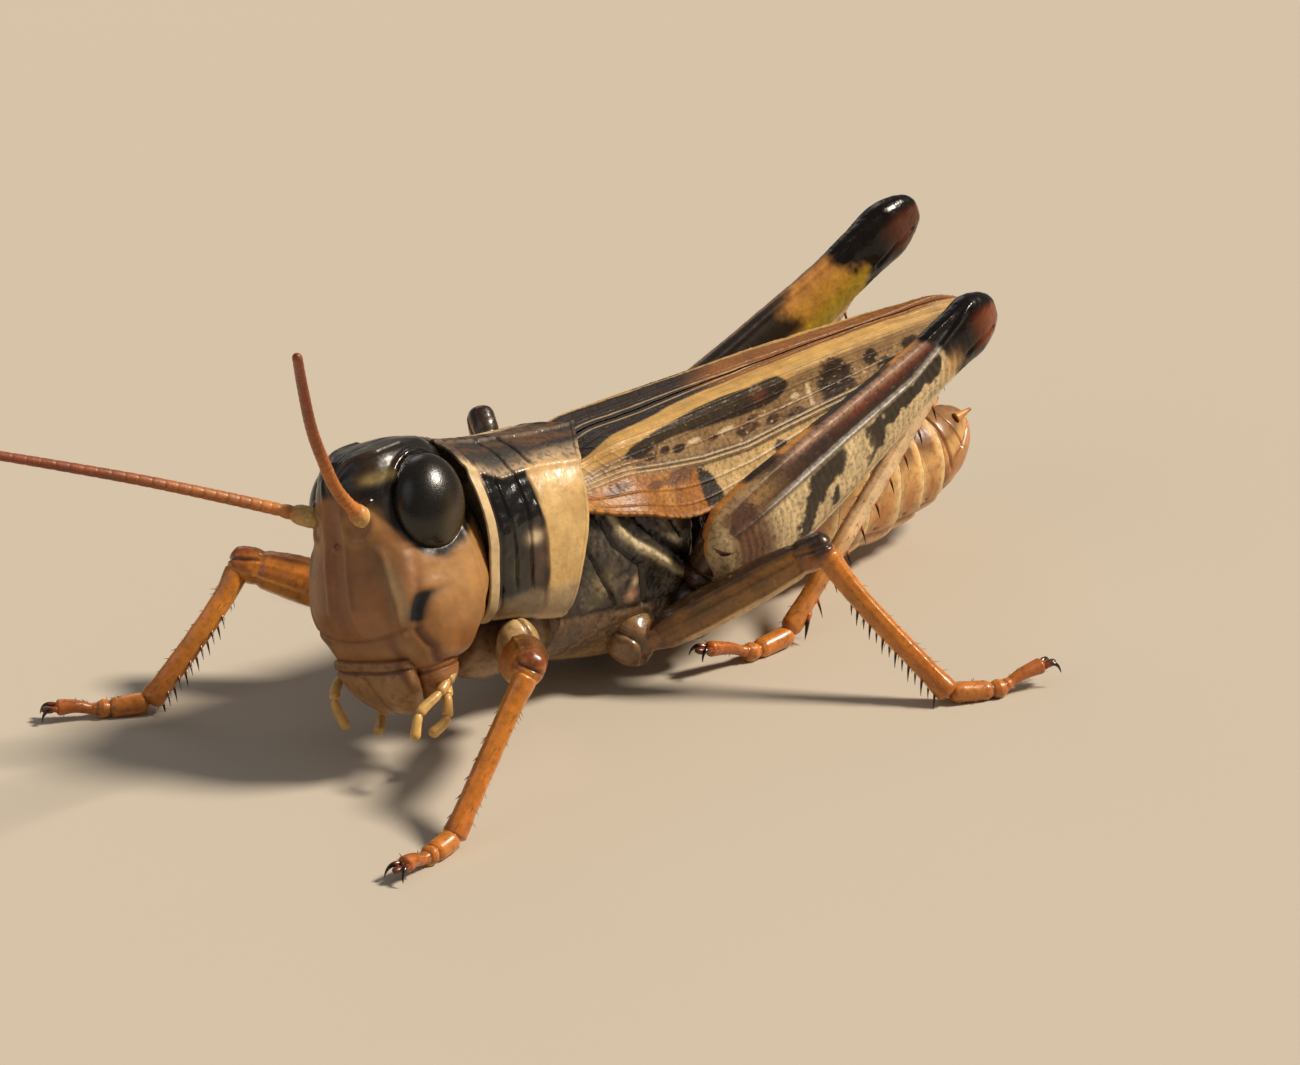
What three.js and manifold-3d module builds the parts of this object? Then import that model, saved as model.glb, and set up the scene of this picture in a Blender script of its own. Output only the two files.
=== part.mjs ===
// An adult clear-winged grasshopper (Camnula pellucida) at rest, life size.
// Millimetres. The head faces -Y, the animal's left side is +X, up is +Z and the feet stand on z = 0.
// While it is built, y = 0 is the rear point of the pronotum; at the end the group is moved so that
// the origin lies under the middle of the whole animal.
import * as THREE from "three";
import { mergeVertices } from "three/addons/utils/BufferGeometryUtils.js";
import Module from "manifold-3d";

const wasm = await Module();
wasm.setup();

// ---- Driving dimensions, mm ----
const SEAM = 0.04; // clearance between plates that touch
const PRONOTUM_LENGTH = 4.05;
const PRONOTUM_FRONT_TOP = 6.3;
const PRONOTUM_REAR_TOP = 5.66;
const DISC_HALF_WIDTH = 1.3; // at the lateral carinae, rear
const LOBE_HALF_WIDTH = 1.85; // at the lower edge of the lateral lobes
const LOBE_FRONT_BOTTOM = 2.62;
const LOBE_REAR_BOTTOM = 2.1;
const FORE_WING_LENGTH = 14.2;
const EYE = { side: 1.24, y: -5.12, z: 5.3, wide: 0.6, deep: 0.78, tall: 1.08, lean: 0.14 };
const LEG_THICKNESS = 0.5; // least thickness of tibiae and tarsi
const FEELER_THICKNESS = 0.5;
const SPINE_LENGTH = 0.42;
const SPINE_RADIUS = 0.09;
const CLAW_LENGTH = 0.5;
const CLAW_RADIUS = 0.12;

const HEAD_ROLL = THREE.MathUtils.degToRad(16); // the head leans to its right
const HEAD_YAW = THREE.MathUtils.degToRad(5); // and looks a little to its left
const HEAD_PIVOT = new THREE.Vector3(0, -4, 4.5);

const LATERAL = new THREE.Vector3(1, 0, 0);
const UP = new THREE.Vector3(0, 0, 1);
const DOWN = new THREE.Vector3(0, 0, -1);
const HEAD_TURN = new THREE.Matrix4()
  .makeTranslation(HEAD_PIVOT)
  .multiply(new THREE.Matrix4().makeRotationZ(HEAD_YAW))
  .multiply(new THREE.Matrix4().makeRotationY(-HEAD_ROLL))
  .multiply(new THREE.Matrix4().makeTranslation(HEAD_PIVOT.clone().negate()));

// ---- Colours ----
const finish = (color, roughness = 0.45) =>
  new THREE.MeshStandardMaterial({ color, roughness, metalness: 0 });
const DARK_SHELL = finish("#2b1d15", 0.35);
const FACE_SHELL = finish("#b5702f", 0.45);
const PALE_SHELL = finish("#cfae74", 0.45);
const EYE_SHELL = finish("#2a1a0e", 0.15);
const WING = finish("#6b4a28", 0.4);
const ABDOMEN = finish("#d08a3e", 0.4);
const LEG_ORANGE = finish("#b8541c", 0.4);
const LEG_BROWN = finish("#6e4420", 0.4);
const FEELER = finish("#b0521f", 0.5);

// ---- Shape tools ----
const lerp = THREE.MathUtils.lerp;
const power = (value, exponent) => Math.sign(value) * Math.abs(value) ** exponent;

function toSolid(geometry) {
  const bare = geometry.clone();
  bare.deleteAttribute("normal");
  bare.deleteAttribute("uv");
  const merged = mergeVertices(bare, 1e-4);
  return new wasm.Manifold(
    new wasm.Mesh({
      numProp: 3,
      vertProperties: Float32Array.from(merged.attributes.position.array),
      triVerts: Uint32Array.from(merged.index.array),
    }),
  );
}

function toGeometry(solid) {
  const mesh = solid.getMesh();
  const geometry = new THREE.BufferGeometry();
  geometry.setAttribute("position", new THREE.BufferAttribute(mesh.vertProperties, 3));
  geometry.setIndex(new THREE.BufferAttribute(mesh.triVerts, 1));
  geometry.computeVertexNormals();
  return geometry;
}

// A closed cylinder whose every vertex is moved to place(t, angle, radius): t runs from 0 to 1
// along it, radius is 1 on its wall and 0 in the middle of its ends.
function warpedCylinder(sides, steps, place, turn = new THREE.Matrix4()) {
  const geometry = new THREE.CylinderGeometry(1, 1, 1, sides, steps);
  const position = geometry.attributes.position;
  for (let i = 0; i < position.count; i++) {
    const [x, y, z] = [position.getX(i), position.getY(i), position.getZ(i)];
    const moved = place(0.5 - y, Math.atan2(z, x), Math.hypot(x, z));
    position.setXYZ(i, moved.x, moved.y, moved.z);
  }
  geometry.applyMatrix4(turn);
  return toSolid(geometry);
}

// A body through rings. Each row is [x, y, z, half width, half height] of one ring; the width
// lies along lateral. Rings stand square to the line through their middles, or to axis where one
// is given. square is 2 for an ellipse and more for a boxier ring.
function loft(rows, options = {}) {
  const { sides = 10, steps = rows.length - 1, lateral = LATERAL, square = 2, grow = 0 } = options;
  const spine = new THREE.CatmullRomCurve3(rows.map((row) => new THREE.Vector3(...row.slice(0, 3))));
  const size = new THREE.CatmullRomCurve3(rows.map((row) => new THREE.Vector3(row[3], row[4], 0)));
  const place = (t, angle, radius) => {
    const along = options.axis ?? spine.getTangent(t);
    const side = lateral.clone().addScaledVector(along, -lateral.dot(along)).normalize();
    const other = along.clone().cross(side);
    const half = size.getPoint(t);
    const wide = radius * (half.x + grow) * power(Math.cos(angle), 2 / square);
    const tall = radius * (half.y + grow) * power(Math.sin(angle), 2 / square);
    const push = t === 0 ? -grow : t === 1 ? grow : 0;
    return spine
      .getPoint(t)
      .addScaledVector(along, push)
      .addScaledVector(side, wide)
      .addScaledVector(other, tall);
  };
  return warpedCylinder(sides, steps, place, options.turn);
}

function ellipsoid(centre, radii, options = {}) {
  const { lean = 0, grow = 0, sides = 16, turn = new THREE.Matrix4() } = options;
  const geometry = new THREE.SphereGeometry(1, sides, Math.round(sides * 0.6));
  geometry.scale(radii[0] + grow, radii[1] + grow, radii[2] + grow);
  geometry.rotateY(lean);
  geometry.translate(...centre);
  geometry.applyMatrix4(turn);
  return toSolid(geometry);
}

// A small pyramid that stands on foot and points along direction.
function thorn(foot, direction, length, radius) {
  const geometry = new THREE.ConeGeometry(radius, length, 4);
  geometry.translate(0, length / 2, 0);
  const turn = new THREE.Quaternion().setFromUnitVectors(
    new THREE.Vector3(0, 1, 0),
    direction.clone().normalize(),
  );
  geometry.applyQuaternion(turn);
  geometry.translate(foot.x, foot.y, foot.z);
  return toSolid(geometry);
}

const vector = (point) => new THREE.Vector3(...point);
const mirrored = (rows, side) => rows.map(([x, ...rest]) => [side * x, ...rest]);
const underground = toSolid(new THREE.BoxGeometry(60, 60, 10).translate(0, 0, -5));

// The part of a limb between two points, its half sizes read off rows [share, half width, half height, sag].
function limbRows(from, to, profile) {
  const [a, b] = [vector(from), vector(to)];
  return profile.map(([share, wide, tall, sag = 0]) => {
    const centre = a.clone().lerp(b, share);
    return [centre.x, centre.y, centre.z - sag, wide, tall];
  });
}

// The direction across a bent leg: square to the plane of its two long pieces.
function across(hip, knee, heel) {
  const thigh = vector(knee).sub(vector(hip));
  const shin = vector(heel).sub(vector(knee));
  return thigh.cross(shin).normalize();
}

const parts = [];
function add(name, material, solid) {
  parts.push([name, material, solid]);
}

// ---- Pronotum: the saddle with its two side lobes ----
function pronotumRear(x, z) {
  const disc = -0.8 * Math.min(Math.abs(x), DISC_HALF_WIDTH);
  const lobe = -0.24 * Math.max(0, PRONOTUM_REAR_TOP - 0.3 - z);
  return disc + lobe;
}

function pronotum(grow) {
  return warpedCylinder(20, 6, (t, angle, radius) => {
    const top = lerp(PRONOTUM_FRONT_TOP, PRONOTUM_REAR_TOP, t) - 0.1 * Math.sin(Math.PI * t);
    const bottom = lerp(LOBE_FRONT_BOTTOM, LOBE_REAR_BOTTOM, t);
    const middle = (top + bottom) / 2;
    const tall = (radius * power(-Math.sin(angle), 2 / 3.4) * (top - bottom + 2 * grow)) / 2;
    const high = Math.max(0, tall / ((top - bottom) / 2));
    const disc = lerp(0.95, DISC_HALF_WIDTH, t);
    const wide = lerp(LOBE_HALF_WIDTH - 0.12 * (1 - t), disc + 0.12, high ** 1.5) + grow;
    const x = radius * power(Math.cos(angle), 2 / 3.4) * wide;
    const z = middle + tall;
    const rear = radius ? pronotumRear(x, z) : -1.55;
    const y = lerp(-PRONOTUM_LENGTH - grow, rear + grow, t);
    return new THREE.Vector3(x, y, z);
  });
}
const pronotumCutter = pronotum(SEAM);
add("pronotum", PALE_SHELL, pronotum(0));

// ---- Head ----
// Rings from the top of the vertex down to the mouth: [z, y, half width, half depth].
const HEAD_RINGS = [
  [6.62, -5.4, 0.38, 0.5],
  [6.5, -5.3, 0.78, 1.02],
  [6.15, -5.25, 1.0, 1.35],
  [5.6, -5.24, 1.14, 1.52],
  [4.9, -5.24, 1.38, 1.64],
  [4.2, -5.28, 1.62, 1.76],
  [3.5, -5.38, 1.74, 1.76],
  [2.85, -5.5, 1.72, 1.5],
  [2.3, -5.6, 1.56, 1.16],
  [1.95, -5.66, 1.3, 0.85],
];
const headRows = HEAD_RINGS.map(([z, y, wide, deep]) => [0, y, z, wide, deep]);
const onHead = (rows, sides, square, grow) =>
  loft(rows, { sides, square, grow, axis: DOWN, turn: HEAD_TURN });
const headLoft = (grow) => onHead(headRows, 20, 2.5, grow);
function eyeSolid(side, grow) {
  const centre = [side * EYE.side, EYE.y, EYE.z];
  const radii = [EYE.wide, EYE.deep, EYE.tall];
  return ellipsoid(centre, radii, { lean: -side * EYE.lean, grow, turn: HEAD_TURN });
}
const headCutter = headLoft(SEAM);

// The antennae: a thick scape, then a long thread that bends slowly forwards and outwards.
const ANTENNAE = {
  l: [
    [0.53, -6.3, 5.3],
    [0.72, -7.25, 6.33],
    [1.15, -8.01, 7.4],
    [1.6, -8.63, 8.29],
    [2.3, -9.41, 9.53],
    [2.95, -10.08, 10.6],
  ],
  r: [
    [-0.8, -6.45, 5.05],
    [-1.6, -7.25, 5.34],
    [-2.9, -9.22, 6.07],
    [-3.9, -10.73, 6.56],
    [-4.95, -12.25, 7.02],
  ],
};
const feelerHalf = FEELER_THICKNESS / 2;
function antenna(path, grow) {
  const rows = path.map((point, i) => {
    const half = i === 0 ? feelerHalf + 0.04 : i === path.length - 1 ? feelerHalf * 0.8 : feelerHalf;
    return [...point, half, half];
  });
  return loft(rows, { sides: 6, steps: 12, grow });
}

let head = headLoft(0).subtract(pronotumCutter);
for (const side of [1, -1]) head = head.subtract(eyeSolid(side, SEAM));
for (const path of Object.values(ANTENNAE)) head = head.subtract(antenna(path, SEAM));
add("head", FACE_SHELL, head);
for (const [letter, side] of [["l", 1], ["r", -1]]) {
  add(`eye_${letter}`, EYE_SHELL, eyeSolid(side, 0));
  add(`antenna_${letter}`, FEELER, antenna(ANTENNAE[letter], 0));
}

// ---- Mouthparts ----
const labrumRows = [
  [0, -6.56, 2.42, 1.08, 0.4],
  [0, -6.56, 2.1, 1.08, 0.38],
  [0, -6.4, 1.6, 0.95, 0.34],
  [0, -6.15, 1.15, 0.62, 0.26],
  [0, -6.0, 0.95, 0.3, 0.14],
];
const labrum = (grow) => onHead(labrumRows, 12, 2.6, grow);
add("labrum", FACE_SHELL, labrum(0).subtract(headCutter));
const mandibleRows = [
  [0.7, -5.75, 2.5, 0.5, 0.55],
  [0.76, -5.75, 1.95, 0.55, 0.55],
  [0.64, -5.7, 1.5, 0.46, 0.42],
  [0.4, -5.7, 1.22, 0.22, 0.2],
];
const labiumRows = [
  [0, -5.1, 2.35, 0.8, 0.35],
  [0, -5.12, 1.9, 0.85, 0.33],
  [0, -5.28, 1.4, 0.65, 0.28],
  [0, -5.42, 1.1, 0.3, 0.14],
];
const labium = (grow) => onHead(labiumRows, 10, 2.4, grow);
const PALPS = {
  maxillary_palp_l: [
    [1.12, -5.45, 1.78],
    [1.2, -6.06, 1.47],
    [1.12, -6.68, 1.2],
    [1.1, -6.96, 0.73],
  ],
  maxillary_palp_r: [
    [-1.12, -5.6, 1.78],
    [-1.36, -6.3, 1.85],
    [-1.25, -6.76, 1.5],
    [-1.1, -6.74, 0.85],
  ],
  labial_palp_l: [
    [0.7, -5.35, 1.42],
    [0.93, -5.64, 1.2],
    [0.97, -5.85, 0.8],
    [0.9, -6.32, 0.61],
  ],
  labial_palp_r: [
    [-0.7, -5.35, 1.42],
    [-0.93, -5.64, 1.2],
    [-0.97, -5.85, 0.8],
    [-0.8, -6.2, 0.6],
  ],
};
const PALP_HALF = 0.16;
function palp(name, grow) {
  const rows = PALPS[name].map((point) => [...point, PALP_HALF, PALP_HALF]);
  return loft(rows, { sides: 6, steps: 6, grow, turn: HEAD_TURN });
}
for (const [letter, side] of [["l", 1], ["r", -1]]) {
  const jaw = onHead(mirrored(mandibleRows, side), 10, 2.6, 0);
  const palps = [`maxillary_palp_${letter}`, `labial_palp_${letter}`];
  const cutters = [headCutter, labrum(SEAM), labium(SEAM), ...palps.map((name) => palp(name, SEAM))];
  add(`mandible_${letter}`, FACE_SHELL, cutters.reduce((solid, cutter) => solid.subtract(cutter), jaw));
  for (const name of palps) add(name, PALE_SHELL, palp(name, 0).subtract(headCutter));
}
const labialCutters = [palp("labial_palp_l", SEAM), palp("labial_palp_r", SEAM), headCutter];
add("labium", FACE_SHELL, labialCutters.reduce((solid, cutter) => solid.subtract(cutter), labium(0)));

// ---- Thorax below and behind the pronotum ----
const PROSTERNUM = { front: -3.9, rear: -1.9, top: 2.75, bottom: 0.85, half: 1.15 };
const sternumMiddle = (PROSTERNUM.top + PROSTERNUM.bottom) / 2;
const sternumTall = (PROSTERNUM.top - PROSTERNUM.bottom) / 2;
const prosternumRows = [
  [0, PROSTERNUM.front, sternumMiddle + 0.25, PROSTERNUM.half * 0.8, sternumTall * 0.75],
  [0, -3.3, sternumMiddle, PROSTERNUM.half, sternumTall],
  [0, PROSTERNUM.rear, sternumMiddle, PROSTERNUM.half * 1.1, sternumTall * 1.05],
];
// Rings of the middle and rear thorax from front to rear: [y, middle z, half width, half height].
const PTEROTHORAX_RINGS = [
  [-1.8, 2.85, 1.62, 1.95],
  [-0.9, 2.72, 1.8, 2.1],
  [0.3, 2.6, 1.86, 2.22],
  [1.5, 2.55, 1.82, 2.2],
  [2.6, 2.55, 1.55, 1.95],
];
const pterothoraxRows = PTEROTHORAX_RINGS.map(([y, z, wide, tall]) => [0, y, z, wide, tall]);
const thoraxLoft = (grow) => loft(pterothoraxRows, { sides: 18, steps: 6, square: 2.5, grow });
const prosternumLoft = (grow) => loft(prosternumRows, { sides: 14, square: 2.5, grow });

// ---- Abdomen: a ringed cone that rises to its blunt tip ----
const ABDOMEN_RINGS = [
  [2.8, 2.5, 1.5, 1.9],
  [4.6, 2.25, 1.45, 1.8],
  [7.0, 1.97, 1.4, 1.7],
  [9.2, 1.84, 1.28, 1.5],
  [10.9, 1.9, 1.06, 1.2],
];
const TIP_RINGS = [
  [11.0, 1.92, 1.0, 1.14],
  [11.7, 2.12, 0.8, 0.9],
  [12.2, 2.4, 0.5, 0.58],
  [12.5, 2.58, 0.18, 0.22],
];
const ABDOMEN_SEGMENTS = 8;
const ABDOMEN_GROOVE = 0.05;
function abdomen(grow) {
  const rows = ABDOMEN_RINGS.map(([y, z, wide, tall]) => new THREE.Vector4(y, z, wide, tall));
  const curveA = new THREE.CatmullRomCurve3(rows.map((row) => new THREE.Vector3(0, row.x, row.y)));
  const curveB = new THREE.CatmullRomCurve3(rows.map((row) => new THREE.Vector3(row.z, row.w, 0)));
  const steps = 2 * ABDOMEN_SEGMENTS;
  const ringed = [];
  for (let i = 0; i <= steps; i++) {
    const half = curveB.getPoint(i / steps);
    const dip = i % 2 ? 0 : ABDOMEN_GROOVE;
    ringed.push([...curveA.getPoint(i / steps).toArray(), half.x - dip, half.y - dip]);
  }
  return loft(ringed, { sides: 16, square: 2.2, grow });
}
const tipRows = TIP_RINGS.map(([y, z, wide, tall]) => [0, y, z, wide, tall]);

// ---- Wings: each folded along the shoulder line, dorsal field inside, lateral field outside ----
// Rings from base to tip: [y, ridge z, fold x, fold z, lower edge x, lower edge z].
const WING_RINGS = [
  [-1.42, 5.31, 0.95, 5.21, 1.76, 4.72],
  [0.2, 5.5, 0.98, 5.44, 2.0, 4.1],
  [1.75, 5.52, 0.97, 5.48, 2.0, 3.7],
  [3.6, 5.58, 0.9, 5.52, 1.72, 3.85],
  [6.6, 5.65, 0.75, 5.59, 1.4, 4.15],
  [9.8, 5.66, 0.6, 5.56, 1.02, 4.45],
  [11.9, 5.6, 0.48, 5.44, 0.78, 4.7],
  [-1.2 + FORE_WING_LENGTH, 5.3, 0.4, 5.18, 0.52, 4.9],
];
const WING_THICKNESS = 0.5;
const WING_MIDLINE = 0.03; // half the gap between the two wings
function wing(side, grow = 0) {
  const last = WING_RINGS.length - 1;
  const count = 8; // points round each ring
  // The ring runs out along the upper face and back along the lower one.
  const ring = (row) => {
    const [y, ridgeZ, foldX, foldZ, edgeX, edgeZ] = row;
    const outer = [[WING_MIDLINE, ridgeZ], [foldX * 0.55, ridgeZ], [foldX, foldZ]];
    const steep = [foldX + (edgeX - foldX) * 0.3, foldZ - (foldZ - edgeZ) * 0.38];
    outer.push(steep, [edgeX, edgeZ]);
    const thick = WING_THICKNESS * Math.min(1, ridgeZ - edgeZ); // thinner where the wing is low
    const inner = [[edgeX - thick * 0.9 - grow, edgeZ + 0.05 - grow]];
    inner.push([Math.max(WING_MIDLINE, foldX - thick * 0.75), foldZ - thick - grow]);
    inner.push([WING_MIDLINE, ridgeZ - thick - grow]);
    return [...outer, ...inner].map(([x, z]) => [side * x, y, z]);
  };
  return warpedCylinder(count, last, (t, angle, radius) => {
    const points = ring(WING_RINGS[Math.round(t * last)]);
    const turn = Math.round((angle / (2 * Math.PI)) * count);
    const index = ((side * turn) % count + count) % count;
    if (radius > 0.5) return vector(points[index]);
    const middle = new THREE.Vector3();
    for (const point of [points[1], points[2], points[6], points[7]]) middle.add(vector(point));
    return middle.divideScalar(4);
  });
}
for (const [letter, side] of [["l", 1], ["r", -1]]) {
  add(`fore_wing_${letter}`, WING, wing(side).subtract(pronotumCutter));
}

// ---- Legs ----
// Joints of each leg: hip, knee, heel, then where the foot leaves the floor and its tip.
const LEGS = {
  fore_l: {
    hip: [1.75, -3.3, 1.8],
    knee: [4.42, -5.44, 3.05],
    heel: [4.83, -7.92, 0.3],
    ball: [5.05, -9, 0.2],
    tip: [5.15, -9.6, 0.3],
  },
  fore_r: {
    hip: [-1.75, -3.4, 1.85],
    knee: [-4.57, -5.66, 2.75],
    heel: [-4.55, -8.16, 0.3],
    ball: [-5.2, -9.2, 0.2],
    tip: [-5.65, -9.9, 0.3],
  },
  mid_l: {
    hip: [1.9, 0.15, 1.05],
    knee: [4.53, 3.1, 3.27],
    heel: [7.05, 4.3, 0.3],
    ball: [7.6, 5.4, 0.2],
    tip: [7.88, 6.5, 0.5],
  },
  mid_r: {
    hip: [-1.95, 0.3, 1.15],
    knee: [-4.9, 1.75, 4.05],
    heel: [-6.3, 2.6, 0.3],
    ball: [-6.65, 4.1, 0.2],
    tip: [-6.9, 5.1, 0.5],
  },
  hind_l: {
    hip: [2.5, 1.7, 3.05],
    knee: [1.95, 10.45, 5.74],
    heel: [2.5, 4.25, 0.45],
    ball: [2.5, 2.95, 0.2],
    tip: [2.35, 1.7, 0.6],
  },
  hind_r: {
    hip: [-2.5, 2, 2.2],
    knee: [-1.85, 11.75, 6.76],
    heel: [-2.6, 6.35, 0.45],
    ball: [-2.65, 4.8, 0.2],
    tip: [-2.6, 3.5, 0.5],
  },
};
const COXAE = {
  fore: { centre: [1.62, -3.2, 1.95], radii: [0.42, 0.5, 0.62] },
  mid: { centre: [1.62, 0.15, 1.1], radii: [0.55, 0.6, 0.62] },
  hind: { centre: [1.75, 1.85, 1.4], radii: [0.62, 0.68, 0.78] },
};
// Profiles: [share of the length, half width across the leg, half height in its plane, sag of the middle line].
const THIGH = {
  fore: [
    [0.08, 0.3, 0.36],
    [0.35, 0.44, 0.54],
    [0.65, 0.42, 0.5],
    [0.9, 0.32, 0.38],
    [1.05, 0.26, 0.3],
  ],
  mid: [
    [0.04, 0.3, 0.36],
    [0.35, 0.38, 0.47],
    [0.65, 0.38, 0.45],
    [0.9, 0.3, 0.37],
    [1.04, 0.26, 0.3],
  ],
  hind: [
    [-0.02, 0.28, 0.72, 0.1],
    [0.05, 0.46, 1.12, 0.15],
    [0.2, 0.52, 1.35, 0.2],
    [0.42, 0.46, 1.18, 0.27],
    [0.65, 0.36, 0.88, 0.25],
    [0.83, 0.33, 0.7, 0.13],
    [0.92, 0.36, 0.71, 0.05],
    [1.0, 0.4, 0.76, 0],
    [1.06, 0.32, 0.58, 0],
    [1.1, 0.18, 0.3, 0],
  ],
};
const shinHalf = LEG_THICKNESS / 2;
const SHIN = {
  fore: [[0.12, shinHalf, shinHalf], [0.5, shinHalf, shinHalf], [0.98, shinHalf, shinHalf * 1.1]],
  mid: [[0.12, shinHalf, shinHalf], [0.5, shinHalf, shinHalf], [0.98, shinHalf, shinHalf * 1.1]],
  hind: [[0.1, shinHalf, 0.3], [0.5, shinHalf, shinHalf], [0.99, shinHalf * 1.15, shinHalf * 1.15]],
};
const THORNS = {
  fore: { rows: [1], count: 5, from: 0.4, to: 0.92 },
  mid: { rows: [1], count: 6, from: 0.36, to: 0.92 },
  hind: { rows: [1, -1], count: 8, from: 0.25, to: 0.9 },
};

function thornsOf(pair, from, to, sideways, belly) {
  const { rows, count, from: first, to: last } = THORNS[pair];
  const along = vector(to).sub(vector(from)).normalize();
  const solids = [];
  for (const row of rows) {
    for (let i = 0; i < count; i++) {
      const share = lerp(first, last, i / (count - 1));
      const out = belly.clone().addScaledVector(sideways, row * (rows.length - 1) * 0.8).normalize();
      const foot = vector(from).lerp(vector(to), share).addScaledVector(out, shinHalf * 0.75);
      const point = out.clone().addScaledVector(along, 0.7);
      solids.push(thorn(foot, point, SPINE_LENGTH, SPINE_RADIUS));
    }
  }
  return solids;
}

// The foot: two pads on the floor, a raised last joint and a pair of claws.
function foot(leg, shin) {
  const { heel, ball, tip } = leg;
  const [a, b, c] = [vector(heel), vector(ball), vector(tip)];
  const half = shinHalf;
  const start = a.clone().lerp(b, 0.06);
  const rows = [
    [start.x, start.y, 0.24, half * 0.95, half],
    [...a.clone().lerp(b, 0.55).setZ(0.2).toArray(), half * 1.1, half],
    [b.x, b.y, 0.2, half, half * 0.9],
    [...b.clone().lerp(c, 0.5).toArray(), half * 0.85, half * 0.8],
    [c.x, c.y, c.z, half, half * 0.9],
  ];
  let solid = loft(rows, { sides: 8, steps: 5, square: 2.4 });
  const along = c.clone().sub(b).normalize();
  const sideways = along.clone().cross(UP).normalize();
  for (const row of [1, -1]) {
    const hook = along.clone().addScaledVector(sideways, row * 0.45).addScaledVector(UP, -0.35);
    const root = c.clone().addScaledVector(sideways, row * half * 0.45).addScaledVector(along, -0.06);
    solid = solid.add(thorn(root, hook, CLAW_LENGTH, CLAW_RADIUS));
  }
  return solid.subtract(shin).subtract(underground);
}

const bodyCutters = [thoraxLoft(SEAM), prosternumLoft(SEAM)];
for (const [name, leg] of Object.entries(LEGS)) {
  const [pair, letter] = name.split("_");
  const side = letter === "l" ? 1 : -1;
  const sideways = pair === "hind" ? LATERAL.clone() : across(leg.hip, leg.knee, leg.heel);
  const thighRows = limbRows(leg.hip, leg.knee, THIGH[pair]);
  const sides = pair === "hind" ? 12 : 8;
  const steps = pair === "hind" ? 10 : 5;
  const square = pair === "hind" ? 2.2 : 2.4;
  const thigh = (grow) => loft(thighRows, { sides, steps, lateral: sideways, square, grow });
  const shinRows = limbRows(leg.knee, leg.heel, SHIN[pair]);
  const shinAlong = vector(leg.heel).sub(vector(leg.knee)).normalize();
  const thighAlong = vector(leg.knee).sub(vector(leg.hip)).normalize();
  // The inner face of the shin looks back at the thigh.
  const belly = shinAlong.clone().multiplyScalar(thighAlong.dot(shinAlong)).sub(thighAlong).normalize();
  const thornSide = pair === "hind" ? belly.clone().negate() : belly;
  const bareShin = (grow) => loft(shinRows, { sides: 8, steps: 3, lateral: sideways, grow });
  let shin = bareShin(0);
  for (const solid of thornsOf(pair, leg.knee, leg.heel, sideways, thornSide)) shin = shin.add(solid);
  shin = shin.subtract(thigh(SEAM)).subtract(underground);
  const paw = foot(leg, bareShin(SEAM));
  const { centre, radii } = COXAE[pair];
  const hipAt = [side * centre[0], centre[1], centre[2]];
  const hipSolid = (grow) => ellipsoid(hipAt, radii, { grow, sides: 10 });
  let hip = hipSolid(0).subtract(pronotumCutter).subtract(thigh(SEAM));
  for (const cutter of bodyCutters) hip = hip.subtract(cutter);
  add(`${pair}_coxa_${letter}`, pair === "fore" ? PALE_SHELL : LEG_BROWN, hip);
  add(`${pair}_femur_${letter}`, pair === "fore" ? LEG_ORANGE : LEG_BROWN, thigh(0));
  add(`${pair}_tibia_${letter}`, LEG_ORANGE, shin);
  add(`${pair}_tarsus_${letter}`, LEG_ORANGE, paw);
}

const thoraxCutters = [pronotumCutter, wing(1, SEAM), wing(-1, SEAM)];
const thoraxSolid = thoraxCutters.reduce((solid, cutter) => solid.subtract(cutter), thoraxLoft(0));
add("pterothorax", DARK_SHELL, thoraxSolid);
const neckCutters = [pronotumCutter, headCutter, labium(SEAM), thoraxLoft(SEAM)];
const sternumSolid = neckCutters.reduce((solid, cutter) => solid.subtract(cutter), prosternumLoft(0));
add("prosternum", DARK_SHELL, sternumSolid);
add("abdomen", ABDOMEN, abdomen(0).subtract(thoraxLoft(SEAM)));
add("abdomen_tip", ABDOMEN, loft(tipRows, { sides: 12 }).subtract(abdomen(SEAM)));

// ---- The animal ----
const group = new THREE.Group();
for (const [name, material, solid] of parts) {
  const mesh = new THREE.Mesh(toGeometry(solid), material);
  mesh.name = name;
  group.add(mesh);
}
const box = new THREE.Box3().setFromObject(group);
const middle = box.getCenter(new THREE.Vector3());
group.position.set(-middle.x, -middle.y, -box.min.z);

export default group;
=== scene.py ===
# An adult clear-winged grasshopper at rest, life size: the plates, wings and limbs over the CAD frame.
# Shapes are worked out in millimetres in the frame that the CAD is drawn in, then moved by SHIFT.
import math

import bpy
import numpy as np
from mathutils import Matrix


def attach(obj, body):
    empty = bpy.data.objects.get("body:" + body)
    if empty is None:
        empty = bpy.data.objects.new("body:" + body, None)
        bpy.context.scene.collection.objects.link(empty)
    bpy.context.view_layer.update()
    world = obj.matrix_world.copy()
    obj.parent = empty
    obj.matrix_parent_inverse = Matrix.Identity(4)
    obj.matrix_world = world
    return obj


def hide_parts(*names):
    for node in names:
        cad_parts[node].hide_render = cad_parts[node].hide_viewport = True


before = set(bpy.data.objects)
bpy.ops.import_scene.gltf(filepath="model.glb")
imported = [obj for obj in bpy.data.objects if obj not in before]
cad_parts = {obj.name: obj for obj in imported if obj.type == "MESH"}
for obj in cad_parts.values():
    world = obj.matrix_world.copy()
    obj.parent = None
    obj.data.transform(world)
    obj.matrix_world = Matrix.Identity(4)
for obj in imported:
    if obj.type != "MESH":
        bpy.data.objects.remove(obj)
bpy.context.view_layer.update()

MM = 0.001
SHIFT = np.array([-0.49, -0.315, 0])
X, Y, Z = np.eye(3)
DOWN = -Z
SIDES = (("l", 1), ("r", -1))
RANDOM = np.random.default_rng(20)


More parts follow.
